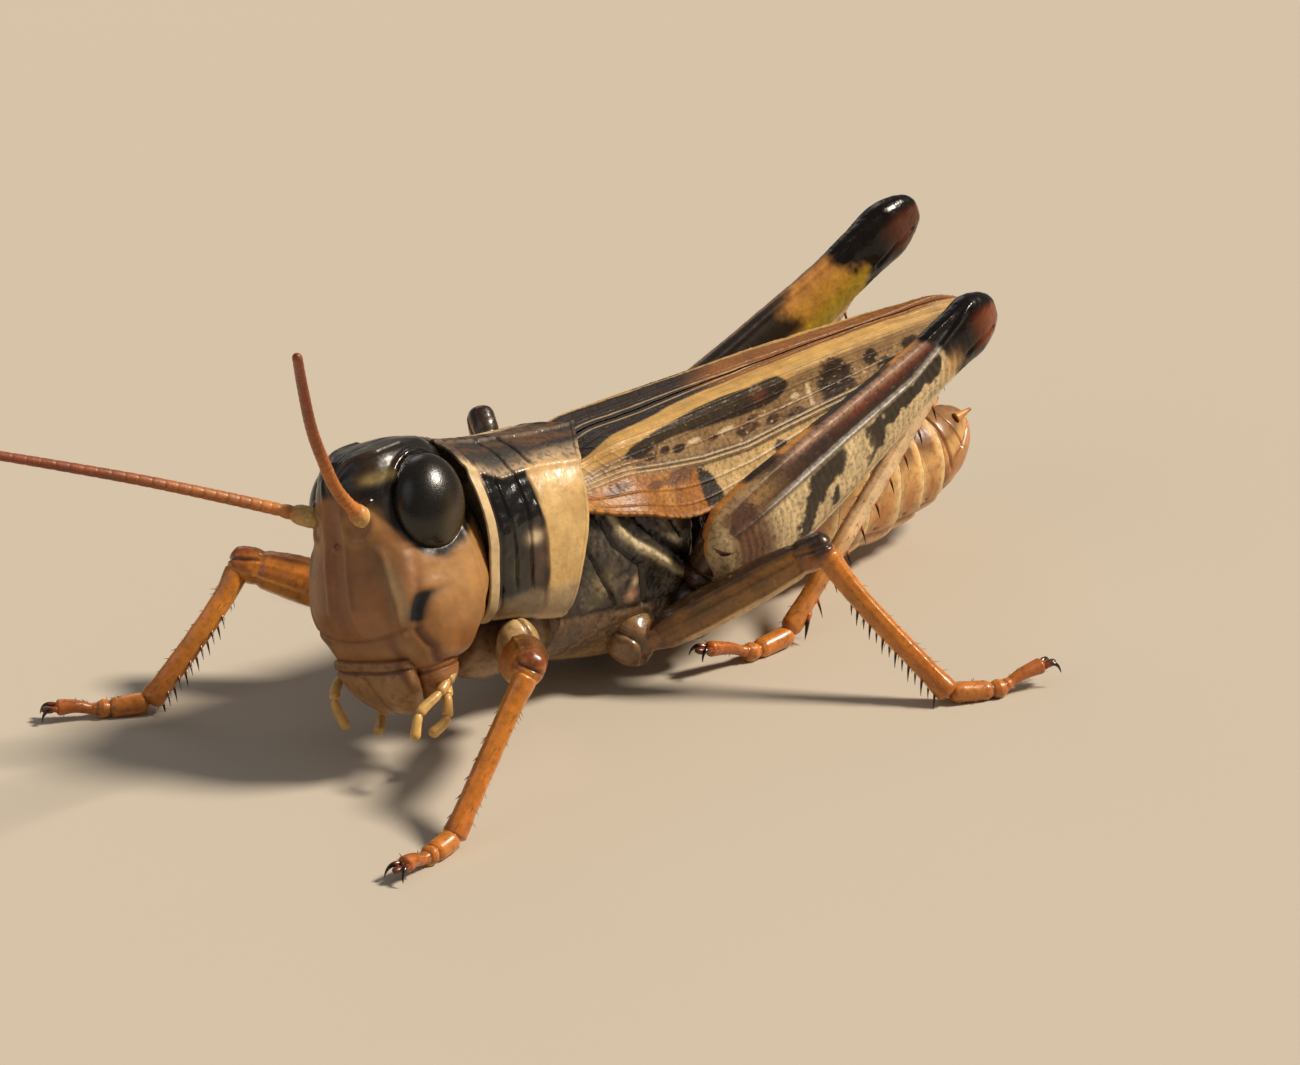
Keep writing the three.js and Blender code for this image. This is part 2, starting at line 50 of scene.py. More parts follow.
# ---- Numbers and fields ----
def unit(v):
    return v / np.maximum(np.linalg.norm(v, axis=-1, keepdims=True), 1e-12)


def power(value, exponent):
    return np.sign(value) * np.abs(value) ** exponent


def lerp(a, b, t):
    return a + (b - a) * t


def clamp(value):
    return np.clip(value, 0, 1)


def steps(count):
    return np.linspace(0, 1, count)


def circle(count):
    return np.linspace(0, 2 * math.pi, count, endpoint=False)


def ease(value, low, high):
    """0 below low, 1 above high and smooth between them."""
    t = clamp((value - low) / (high - low))
    return t * t * (3 - 2 * t)


def band(value, low, high, soft):
    """1 between low and high, fading over soft on both sides."""
    return ease(value, low - soft, low + soft) * (1 - ease(value, high - soft, high + soft))


def bump(value, width):
    return np.exp(-((value / width) ** 2))


def spot(a, b, at, size):
    """A round mark in two surface coordinates."""
    return np.exp(-(((a - at[0]) / size[0]) ** 2 + ((b - at[1]) / size[1]) ** 2))


def line(a, b, points, width):
    """A soft line through points in two surface coordinates."""
    best = 1e9
    for (a0, b0), (a1, b1) in zip(points[:-1], points[1:]):
        da, db = a1 - a0, b1 - b0
        t = clamp(((a - a0) * da + (b - b0) * db) / (da * da + db * db))
        best = np.minimum(best, (a - a0 - t * da) ** 2 + (b - b0 - t * db) ** 2)
    return np.exp(-best / width**2)


def colour(code):
    """Linear red, green and blue of a code such as #c08a35; a colour stays as it is."""
    if not isinstance(code, str):
        return code
    value = np.array([int(code[i : i + 2], 16) for i in (1, 3, 5)]) / 255
    return np.where(value <= 0.04045, value / 12.92, ((value + 0.055) / 1.055) ** 2.4)


def coats(base, *layers):
    """A base colour with others laid over it, each followed by its amount, which may vary."""
    paint = colour(base)
    for top, amount in zip(layers[::2], layers[1::2]):
        paint = paint + (colour(top) - paint) * clamp(amount)[..., None]
    return paint


def clouded(paint, amount):
    return paint * (1 + amount)[..., None]


def scramble(i, j, k, seed):
    """A number from 0 to 1 for each cell of a lattice."""
    h = (i * 73856093) ^ (j * 19349663) ^ (k * 83492791) ^ (seed * 2654435761)
    h = (h & 0xFFFFFFFF).astype(np.uint64)
    h = ((h ^ (h >> 15)) * 2246822519) & 0xFFFFFFFF
    h = ((h ^ (h >> 13)) * 3266489917) & 0xFFFFFFFF
    return (h ^ (h >> 16)).astype(float) / 0xFFFFFFFF


def noise(p, size, seed):
    """Smooth noise from -1 to 1 in two octaves with features of that size, in millimetres."""
    total = 0
    for octave, weight in enumerate((1, 0.5)):
        q = p / size * 2**octave + 37
        cell = np.floor(q).astype(np.int64)
        f = q - cell
        f = f * f * (3 - 2 * f)
        value = 0
        for corner in range(8):
            step = [corner & 1, corner >> 1 & 1, corner >> 2]
            share = np.abs(1 - np.array(step) - f)
            at = (cell[..., i] + step[i] for i in range(3))
            value = value + share[..., 0] * share[..., 1] * share[..., 2] * scramble(*at, seed + octave)
        total = total + (2 * value - 1) * weight
    return total / 1.5


def dots(p, size, seed):
    """Distance to the nearest of scattered points, one to a cell of that size, in cells."""
    q = p / size + 91
    cell = np.floor(q).astype(np.int64)
    best = 9
    for step in range(27):
        c = [cell[..., a] + step // 3**a % 3 - 1 for a in range(3)]
        d = sum((c[a] + scramble(*c, seed + a) - q[..., a]) ** 2 for a in range(3))
        best = np.minimum(best, d)
    return np.sqrt(best)


# ---- Curves and surfaces ----
def axes(p):
    return p[..., 0], p[..., 1], p[..., 2]


def spline(rows, t):
    """A centripetal Catmull-Rom curve through rows, read at each t from 0 to 1."""
    p = np.asarray(rows, float)
    last = len(p) - 1
    t = clamp(t) * last
    i = np.minimum(t.astype(int), last - 1)
    w = (t - i)[:, None]
    q = np.vstack([2 * p[0] - p[1], p, 2 * p[-1] - p[-2]])
    a, b, c, d = q[i], q[i + 1], q[i + 2], q[i + 3]

    def gap(m, n):
        return np.maximum(np.linalg.norm(n - m, axis=1), 1e-6)[:, None] ** 0.5

    g0, g1, g2 = gap(a, b), gap(b, c), gap(c, d)
    m1 = ((b - a) / g0 - (c - a) / (g0 + g1) + (c - b) / g1) * g1
    m2 = ((c - b) / g1 - (d - b) / (g1 + g2) + (d - c) / g2) * g1
    return b + m1 * w + (2 * b - 2 * c + m1 + m2) * w**3 + (3 * c - 3 * b - 2 * m1 - m2) * w**2


def arc(path):
    """The length along a path up to each of its points."""
    return np.r_[0, np.cumsum(np.linalg.norm(np.diff(path, axis=0), axis=1))]


def read(path, far, at):
    """A path's points where its length far reaches at."""
    return np.stack([np.interp(at, far, column) for column in path.T], 1)


def rounded(t, first, last):
    """The share of full size near rounded ends."""
    size = np.ones_like(t)
    for near, end in ((t, first), (1 - t, last)):
        if end:
            size = size * np.sqrt(np.clip(1 - clamp(1 - near / end) ** 2, 1e-4, 1))
    return size


def stations(count, first, last):
    """Places along a tube and the share of its full size there: it rounds off over first and last."""
    t = steps(count)
    ends = steps(9)[1:-1] ** 2
    if first:
        t = np.concatenate([[0], ends * first, t[t > first]])
    if last:
        t = np.concatenate([t[t < 1 - last], 1 - ends[::-1] * last, [1]])
    return t, rounded(t, first, last)


def pipe(path, wide, tall, around, lateral=X, square=2, along=None):
    """A tube along a dense path, its half sizes given at every point."""
    along = unit(np.gradient(path, axis=0)) if along is None else along
    side = unit(lateral - (along @ lateral)[:, None] * along)
    other = np.cross(along, side)
    angle = circle(around)
    a = power(np.cos(angle), 2 / square) * np.reshape(wide, (-1, 1))
    b = power(np.sin(angle), 2 / square) * np.reshape(tall, (-1, 1))
    return path[:, None] + side[:, None] * a[..., None] + other[:, None] * b[..., None]


def tube(rows, t, size, around, lateral=X, square=2, axis=None):
    """A ringed surface through rows [x, y, z, half width, half height], as the CAD lofts them."""
    rows = np.asarray(rows, float)
    wide, tall = (spline(rows[:, 3:], t) * size[:, None]).T
    path, step = rows[:, :3], 1e-3
    if axis is None:
        along = unit(spline(path, t + step) - spline(path, t - step))
    else:
        along = np.broadcast_to(axis, (len(t), 3))
    return pipe(spline(path, t), wide, tall, around, lateral, square, along)


def even(rings, count):
    """Rings read again at even steps of their own length."""
    made = []
    for ring in rings:
        closed = np.vstack([ring, ring[:1]])
        far = arc(closed)
        made.append(read(closed, far, np.linspace(0, far[-1], count + 1)[:count]))
    return np.array(made)


def normals(p):
    """Outward normals of a tube's rings."""
    n = unit(np.cross(np.gradient(p, axis=0), np.roll(p, -1, 1) - np.roll(p, 1, 1)))
    return n * np.where(((p - p.mean(1, keepdims=True)) * n).sum(-1).mean() < 0, -1, 1)


def raised(p, height):
    return p + normals(p) * height[..., None]


def ellipsoid(centre, radii, rings, around, turn=np.eye(3)):
    """A closed ball shape. The poles lie on the local z axis."""
    up, angle = np.linspace(0, math.pi, rings)[:, None], circle(around)
    ball = np.stack([np.sin(up) * np.cos(angle), np.sin(up) * np.sin(angle), np.cos(up) + 0 * angle], -1)
    return ball * np.asarray(radii) @ np.asarray(turn).T + np.asarray(centre)


def above_floor(p):
    p[..., 2] = np.maximum(p[..., 2], 0)
    return p


def about(axis, degrees):
    return np.array(Matrix.Rotation(math.radians(degrees), 3, axis))


# The head leans to its right and looks a little to its left.
HEAD_PIVOT = np.array([0, -4, 4.5])
HEAD_TURN = about("Z", 5) @ about("Y", -16)


def on_head(p):
    return (p - HEAD_PIVOT) @ HEAD_TURN.T + HEAD_PIVOT


# ---- Pieces ----
def hand_over(mesh, uv, paint, finish, material, nodes):
    """Gives a mesh its map, colours and material, and the frame its piece."""
    mesh.uv_layers.new(name="OFBake").data.foreach_set("uv", uv.astype(np.float32).ravel())
    for label, values in (("paint", paint), ("finish", finish)):
        layer = mesh.color_attributes.new(name=label, type="FLOAT_COLOR", domain="POINT")
        rgba = np.concatenate([values, np.ones((len(values), 1))], 1)
        layer.data.foreach_set("color", rgba.astype(np.float32).ravel())
    mesh.materials.append(material)
    mesh.validate()
    piece = bpy.data.objects.new(mesh.name, mesh)
    bpy.context.scene.collection.objects.link(piece)
    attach(piece, "root")
    if nodes:
        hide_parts(*nodes)


def to_metres(points):
    """Build millimetres to the frame's metres, nothing below the floor."""
    return above_floor((points + SHIFT) * MM)


class Piece:
    """Surfaces gathered into one mesh, with a colour and a finish at each vertex and one chart each."""

    def __init__(self):
        self.values, self.faces, self.charts, self.count = [], [], [], 0

    def add(self, p, paint, rough, pits, specks):
        """One tube of rings, closed round and capped. rough, pits and specks may vary over it."""
        rings, around = p.shape[:2]
        finish = np.stack([np.broadcast_to(v, (rings, around)) for v in (rough, pits, specks)], -1)
        row, col = np.arange(rings - 1)[:, None] * around, np.arange(around)
        near, far = row + col, row + (col + 1) % around
        quads = np.stack([near, far, far + around, near + around], -1).reshape(-1, 4)
        # The middles of both ends follow the rings in the list of points.
        head = np.stack([0 * col + rings * around, far[0], near[0]], -1)
        tail = np.stack([0 * col + rings * around + 1, near[-1] + around, far[-1] + around], -1)
        caps = np.concatenate([head, tail])
        u, v = np.meshgrid(np.linspace(0.03, 0.97, rings), np.arange(around + 1) / around, indexing="ij")
        chart = np.stack([u, v], -1)
        corners = [chart[:-1, :-1], chart[:-1, 1:], chart[1:, 1:], chart[1:, :-1]]
        quad_map = np.stack(corners, 2).reshape(-1, 4, 2)
        mids = (col + 0.5) / around
        head_map = np.stack([np.stack([0 * mids, mids], -1), chart[0, 1:], chart[0, :-1]], 1)
        tail_map = np.stack([np.stack([0 * mids + 1, mids], -1), chart[-1, :-1], chart[-1, 1:]], 1)
        cap_map = np.concatenate([head_map, tail_map])
        flat = p.reshape(-1, 3) - p.reshape(-1, 3).mean(0)
        a, b, c, d = (flat[quads[:, i]] for i in range(4))
        if (np.cross(b - a, c - a) * a).sum() + (np.cross(c - a, d - a) * a).sum() < 0:
            quads, caps, quad_map, cap_map = (v[:, ::-1] for v in (quads, caps, quad_map, cap_map))
        self.values.append([np.concatenate([v.reshape(-1, 3), [v[0].mean(0), v[-1].mean(0)]])
                            for v in (p, np.broadcast_to(paint, p.shape), finish)])
        self.faces.append((quads + self.count, caps + self.count))
        length = np.linalg.norm(np.diff(p.mean(1), axis=0), axis=1).sum()
        girth = np.linalg.norm(np.diff(p, axis=1), axis=2).sum(1).max()
        self.charts.append((quad_map, cap_map, max(length, 0.05), max(girth, 0.05)))
        self.count += rings * around + 2
        return self

    def packed(self):
        """Lays the charts out in rows inside the unit square, to one scale."""
        area = sum(c[2] * c[3] for c in self.charts)
        width = max(1.15 * math.sqrt(area), max(c[2] for c in self.charts))
        gap = 0.006 * width
        spots, x, y, tall = {}, 0, 0, 0
        for i in sorted(range(len(self.charts)), key=lambda i: -self.charts[i][3]):
            length, girth = self.charts[i][2:]
            if x + length > width + 1e-9:
                x, y, tall = 0, y + tall + gap, 0
            spots[i] = (x, y)
            x, tall = x + length + gap, max(tall, girth)
        full = max(width, y + tall) * 1.002
        made = []
        for i, (quad_map, cap_map, *size) in enumerate(self.charts):
            scale, at = np.array(size) / full, np.array(spots[i]) / full
            made.append((quad_map * scale + at, cap_map * scale + at))
        return made

    def done(self, name, nodes, slot, material):
        points, paint, finish = (np.concatenate(v) for v in zip(*self.values))
        quads, caps = (np.concatenate(f) for f in zip(*self.faces))
        uv = np.concatenate([m.reshape(-1, 2) for kind in zip(*self.packed()) for m in kind])
        mesh = bpy.data.meshes.new(name)
        mesh.vertices.add(len(points))
        mesh.vertices.foreach_set("co", to_metres(points).astype(np.float32).ravel())
        corners = np.concatenate([quads.ravel(), caps.ravel()]).astype(np.int32)
        mesh.loops.add(len(corners))
        mesh.loops.foreach_set("vertex_index", corners)
        starts = np.concatenate([np.arange(len(quads)) * 4, len(quads) * 4 + np.arange(len(caps)) * 3])
        mesh.polygons.add(len(starts))
        mesh.polygons.foreach_set("loop_start", starts.astype(np.int32))
        mesh.update(calc_edges=True)
        mesh.polygons.foreach_set("use_smooth", np.ones(len(starts), bool))
        hand_over(mesh, uv, paint, finish, material, nodes)


# ---- Materials ----
CLOUD, WRINKLE = 0.55, 0.045  # sizes in mm


def shell(name, cell, depth, coat, coat_rough, fleck=0.16, soft=0, glow=(1, 0.45, 0.15), gloss=0.5):
    """Cuticle: the painted colour, clouded and flecked, with pits and wrinkles of the given sizes in mm."""
    material = bpy.data.materials.new(name)
    material.use_nodes = True
    tree = material.node_tree
    tree.nodes.clear()

    def node(kind, inputs=(), **settings):
        """A node's outputs. Each input is a value or another node's output."""
        made = tree.nodes.new("ShaderNode" + kind)
        for key, value in settings.items():
            setattr(made, key, value)
        for key, value in dict(inputs).items():
            if isinstance(value, bpy.types.NodeSocket):
                tree.links.new(value, made.inputs[key])
            else:
                made.inputs[key].default_value = value
        return made.outputs

    def texture(kind, size, **more):
        return node(kind, {"Vector": place, "Scale": 1 / (size * MM), **more})[0]

    def sum_of(kind, a, b):
        return node("Math", {0: a, 1: b}, operation=kind)[0]

    def ranged(value, *limits):
        sockets = ("From Min", "From Max", "To Min", "To Max")
        return node("MapRange", {"Value": value, **dict(zip(sockets, limits))})[0]

    place = node("TexCoord")["Object"]
    paint, finish = (node("Attribute", attribute_name=label)["Color"] for label in ("paint", "finish"))
    rough, pits, specks = node("SeparateColor", {"Color": finish})
    wrinkle = texture("TexNoise", WRINKLE, Detail=3)
    # Colour: slow clouding, then dark flecks where the finish asks for them.
    shade = ranged(texture("TexNoise", CLOUD, Detail=4), 0.3, 0.7, 0.8, 1.16)
    tinted = node("VectorMath", {0: paint, "Scale": shade}, operation="SCALE")[0]
    amount = sum_of("MULTIPLY", ranged(texture("TexNoise", fleck, Detail=3), 0.5, 0.62, 0, 1), specks)
    mixed = node("Mix", {0: amount, 6: tinted, 7: (*colour("#150c06"), 1)}, data_type="RGBA")[2]
    # Roughness follows the finish, broken up by the wrinkles.
    worn = sum_of("ADD", rough, sum_of("MULTIPLY", sum_of("SUBTRACT", wrinkle, 0.5), 0.3))
    # Pits between low bosses, and wrinkles over all.
    bosses = sum_of("MULTIPLY", texture("TexVoronoi", cell), pits)
    height = sum_of("ADD", bosses, sum_of("MULTIPLY", wrinkle, 0.35))
    relief = node("Bump", {"Strength": 1, "Distance": depth * MM, "Height": height})[0]
    inputs = {
        "Base Color": mixed, "Roughness": worn, "Normal": relief, "Coat Weight": coat,
        "Coat Roughness": coat_rough, "IOR": 1.5, "Specular IOR Level": gloss,
    }
    if soft:
        inputs.update({"Subsurface Weight": soft, "Subsurface Radius": glow, "Subsurface Scale": 0.25 * MM})
    node("OutputMaterial", {"Surface": node("BsdfPrincipled", inputs)[0]})
    return material


PLATE = shell("plate", 0.1, 0.009, 0.18, 0.16)
FACE = shell("face", 0.12, 0.004, 0.12, 0.3, soft=0.15, glow=(1, 0.6, 0.35))
LEATHER = shell("leather", 0.05, 0.007, 0.06, 0.25, fleck=0.09, gloss=0.3)
THIGH_SHELL = shell("thigh_shell", 0.07, 0.006, 0.06, 0.16, fleck=0.1, gloss=0.24)
LIMB = shell("limb", 0.1, 0.004, 0.3, 0.18, fleck=0.12, soft=0.25, glow=(1, 0.55, 0.2))
BELLY = shell("belly", 0.09, 0.005, 0.2, 0.2, soft=0.25, glow=(1, 0.55, 0.25))
FEELER = shell("feeler", 0.06, 0.005, 0.2, 0.3, fleck=0.08, soft=0.15)
EYEBALL = shell("eyeball", 0.028, 0.002, 0.1, 0.25, fleck=0.2)
BRISTLE = shell("bristle", 0.03, 0.001, 0, 0.12)


# ---- Head ----
# From the crown down: [z, y, half width, half depth].
HEAD_RINGS = [
    [6.62, -5.4, 0.38, 0.5],
    [6.5, -5.3, 0.78, 1.02],
    [6.15, -5.25, 1, 1.35],
    [5.6, -5.24, 1.14, 1.52],
    [4.9, -5.24, 1.38, 1.64],
    [4.2, -5.28, 1.62, 1.76],
    [3.5, -5.38, 1.74, 1.76],
    [2.85, -5.5, 1.72, 1.5],
    [2.3, -5.6, 1.56, 1.16],
    [1.95, -5.66, 1.3, 0.85],
]
EYE_AT, EYE_RADII = np.array([1.22, -5.22, 5.3]), np.array([0.66, 0.86, 1.02])
EYE_LEAN, EYE_RAKE = 0.14, -0.36  # outward at the top, forward at the bottom


def eye_turn(side):
    return about("X", math.degrees(EYE_RAKE)) @ about("Y", math.degrees(-side * EYE_LEAN))


def eye_distance(p, side):
    """1 on an eye, less inside it."""
    return np.linalg.norm((p - EYE_AT * [side, 1, 1]) @ eye_turn(side) / EYE_RADII, axis=-1)


# Tints over the colours of the face and of the legs. The face's tint is partly a warmer tone and partly
# painted shade: it darkens every face part, as for a face turned from the light.
FACE_TINT_AND_SHADE = np.array([0.7, 0.58, 0.44])
WARM_LEG = np.array([0.97, 0.86, 0.62])


def head():
    t, size = stations(230, 0.03, 0.05)
    rows = [[0, y, z, wide, deep] for z, y, wide, deep in HEAD_RINGS]
    p = even(tube(rows, t, size, 1400, square=2.5, axis=DOWN), 330)
    x, y, z = axes(p)
    ax = np.abs(x)
    front = ease(-y, 5.9, 6.35)
    eye = np.minimum(eye_distance(p, 1), eye_distance(p, -1))
    costa = np.interp(z, [2.9, 4.8, 5.6, 6.2], [0.34, 0.3, 0.22, 0.3])
    ridge = bump(ax - costa, 0.07) * front * band(z, 3, 6.15, 0.15)
    trough = bump(x, 0.18) * front * band(z, 3.3, 5.9, 0.25)
    forward = ease(-y, 5.3, 5.7)
    cheek = np.interp(z, [2.8, 3.5, 4.3, 5], [1.2, 1.26, 1.12, 0.9])
    keel = bump(ax - cheek, 0.07) * ease(-y, 5.6, 5.9) * band(z, 2.75, 4.7, 0.15)
    suture = line(ax, z, [(1.38, 4.6), (1.5, 4.14), (1.56, 3.6), (1.47, 3)], 0.05) * forward
    dash = line(ax, z, [(1.58, 3.62), (1.49, 3.2)], 0.085) * forward
    gena = line(ax, z, [(1.44, 2.95), (1.5, 2.5), (1.36, 2.05)], 0.06) * forward
    mouth = 2.82 + 0.1 * (ax / 0.9) ** 2
    epistoma = bump(z - mouth, 0.05) * front * ease(1.35 - ax, 0, 0.1)
    clypeus = band(z, 2.28, 2.68, 0.1) * front * ease(1.05 - ax, 0, 0.2)
    socket = np.hypot(ax - 0.6, (z - 5.2) * 0.9)
    fastigium = line(ax, y, [(0.06, -6.6), (0.36, -6.2), (0.6, -5.75), (0.62, -5.1)], 0.06)
    fastigium = fastigium * ease(z, 5.8, 6.05)
    foveola = spot(ax, z, (0.84, 6.1), (0.2, 0.11)) * ease(-y, 5.6, 5.9)
    glint = line(ax, z, [(1.02, 6.22), (1.04, 5.9)], 0.045) * ease(-y, 5.5, 5.8)
    ocelli = clamp(1 - (np.hypot(x, z - 4.83) / 0.1) ** 2) * front
    ocelli += clamp(1 - (np.hypot(ax - 0.78, z - 5.66) / 0.085) ** 2) * ease(-y, 5.5, 5.8)
    gena_rim = bump(y + 4.62, 0.06) * band(z, 2.4, 4.6, 0.3) * ease(ax, 0.9, 1.2)
    height = 0.035 * ridge - 0.03 * trough + 0.04 * keel - 0.03 * suture - 0.03 * epistoma + 0.05 * clypeus
    height += 0.05 * glint - 0.04 * dash - 0.05 * gena
    height += 0.03 * bump(socket - 0.28, 0.08) * front - 0.03 * ease(0.26 - socket, 0, 0.12) * front
    height += 0.06 * fastigium - 0.04 * foveola + 0.06 * ocelli + 0.03 * gena_rim
    rim = bump(eye - 1.12, 0.07) * ease(z + 0.6 * y, 2, 2.6)
    height += 0.06 * rim - 0.05 * ease(1 - eye, 0, 0.08)
    height += 0.018 * noise(p, 0.5, 3) + 0.004 * noise(p, 0.12, 4)
    height -= 0.03 * bump(x, 0.05) * ease(z, 6.3, 6.5)
    made = raised(p, height)
    # Paint
    cloud, fine = noise(p, 0.7, 11), noise(p, 0.16, 12)
    stripe = line(ax, z, [(1.12, 4.3), (1.27, 3.9), (1.38, 3.3)], 0.13) * forward
    dark_at = np.interp(y, [-6.9, -6.7, -6.37, -6.1, -5.9, -5.5, -5.1, -4.6, -4.1],
                        [6.05, 5.85, 5.27, 4.8, 4.4, 4.2, 4.25, 4.4, 4.65])
    dark = ease(z + 0.05 * fine, dark_at - 0.14, dark_at + 0.14)
    dark = np.maximum(dark, ease(1.1 - eye + 0.08 * ease(z, 4.8, 5.6), -0.02, 0.05))
    paint = coats(
        "#bd9361",
        "#a87750", front * (0.6 + 0.25 * cloud),
        "#94583a", bump(x + 0.1, 0.5) * front * band(z, 3, 5.5, 0.4) * 0.55,
        "#a97c52", ease(3.4 - z, 0, 0.9) * 0.6,
        "#cba36c", spot(y, z, (-4.9, 3.9), (0.7, 0.8)) * ease(ax, 1, 1.3) * 0.7,
        "#a89b80", stripe * (0.8 + 0.15 * fine),
        "#7a6238", band(z, 4.15, 4.75, 0.25) * band(ax, 0.75, 1.4, 0.15) * front * 0.5,
        "#83502e", epistoma * 0.6,
        "#b98d62", clypeus * 0.7,
        "#6b4026", band(z, 2.35, 2.9, 0.12) * bump(ax - 0.95, 0.12) * 0.6,
        "#c7a274", spot(ax, z, (1.2, 2.55), (0.17, 0.3)) * forward * 0.8,
        "#6f3d20", gena * 0.9,
        "#15100b", dark,
        "#3a2a1c", dark * ease(cloud, 0, 0.6) * ease(z, 5.9, 6.3) * 0.8,
        "#9a9066", foveola * 1.3,
        "#8a7a56", line(y, z, [(-4.75, 5.95), (-4, 5.8)], 0.09) * dark * 0.8,
        "#5a4630", fastigium * 0.5,
        "#7d5230", suture * ease(4.2 - z, 0, 0.3) * 0.6,
        "#0b0705", dash * 1.6,
        "#b99662", bump(socket - 0.3, 0.12) * front * 0.5,
        "#3b1d0e", clamp(ocelli) * ease(ax, 0.3, 0.5),
        "#7b4426", clamp(ocelli) * ease(0.5 - ax, 0, 0.2) * 0.7,
    )
    # The face tint darkens the whole head: partly a warmer tone, partly painted shade.
    paint = clouded(paint, 0.05 * fine + 0.06 * cloud) * FACE_TINT_AND_SHADE
    rough = lerp(0.45, 0.32, dark) - 0.25 * clamp(ocelli + glint) - 0.14 * rim * dark
    piece = Piece().add(on_head(made), paint, rough, 0.25 + 0.3 * dark, 0.05 + 0.1 * dark)
    piece.done("head_capsule", ["head"], "shell_face", FACE)


def eyes():
    for letter, side in SIDES:
        p = ellipsoid((0, 0, 0), EYE_RADII, 90, 150)
        up, fore = p[..., 2] / EYE_RADII[2], -p[..., 1] / EYE_RADII[1]
        stripe = 0.5 + 0.5 * np.cos(9 * np.arctan2(p[..., 1], np.abs(p[..., 0]) + 0.2))
        paint = coats(
            "#181008",
            "#3e3118", stripe * 0.35 * ease(0.5 - up, 0, 0.6),
            "#4e4020", spot(up, fore, (-0.6, -0.5), (0.4, 0.6)) * 0.6,
            "#0d0a07", ease(fore, 0, 0.6) * 0.8,
        )
        paint = clouded(paint, 0.15 * noise(p, 0.2, 7))
        world = on_head(p @ eye_turn(side).T + EYE_AT * [side, 1, 1])
        piece = Piece().add(world, paint, 0.27, 0.9, 0)
        piece.done(f"compound_eye_{letter}", [f"eye_{letter}"], "eye", EYEBALL)


# Middle lines of the feelers, from the root to the tip.
ANTENNAE = {
    "l": [[0.53, -6.3, 5.3], [0.72, -7.25, 6.33], [1.15, -8.01, 7.4], [1.6, -8.63, 8.29], [2.3, -9.41, 9.53],
          [2.95, -10.08, 10.6]],
    "r": [[-0.8, -6.45, 5.05], [-1.6, -7.25, 5.34], [-2.9, -9.22, 6.07], [-3.9, -10.73, 6.56],
          [-4.95, -12.25, 7.02]],
}
ANTENNA_SEGMENTS = 24


def antennae():
    for letter, points in ANTENNAE.items():
        dense = spline(points, steps(900))
        far = arc(dense)
        s = np.linspace(0, far[-1], 460)
        scape, pedicel = 0.62, 0.86  # where the two thick first joints end
        share = (s - pedicel) / (far[-1] - pedicel)
        joint = clamp(share) ** 0.9 * ANTENNA_SEGMENTS
        groove = bump(joint - np.round(joint), 0.1) * (share > 0.005)
        radius = np.interp(s, [0, 0.2, 0.45, scape, pedicel, far[-1]],
                           [0.2, 0.245, 0.235, 0.18, 0.145, 0.105])
        radius = radius * (1 + 0.02 * np.sin(np.pi * (joint % 1)) - 0.05 * groove)
        radius = radius * (1 - 0.12 * bump(s - scape, 0.05) - 0.08 * bump(s - pedicel, 0.04))
        radius = radius * rounded(s / far[-1], 0, 0.02)
        p = pipe(read(dense, far, s), radius, radius * 0.92, 22)
        paint = coats(
            "#bd7434",
            "#8a4422", ease(share, 0, 0.7)[:, None],
            "#d6b26c", ease(0.8 - s, 0, 0.6)[:, None],
            "#6e3a1c", (0.3 * groove)[:, None],
        )
        paint = clouded(paint, 0.08 * noise(p, 0.2, 5))
        piece = Piece().add(p, paint, 0.5, 0.5, 0.25)
        piece.done(f"feeler_{letter}", [f"antenna_{letter}"], "feeler", FEELER)


def face_part(name, node, p, height, paint, rough):
    made = on_head(raised(p, height))
    # The mouthparts take the face tint too: partly a warmer tone, partly painted shade.
    Piece().add(made, paint * FACE_TINT_AND_SHADE, rough, 0.3, 0.3).done(name, [node], "shell_face", FACE)


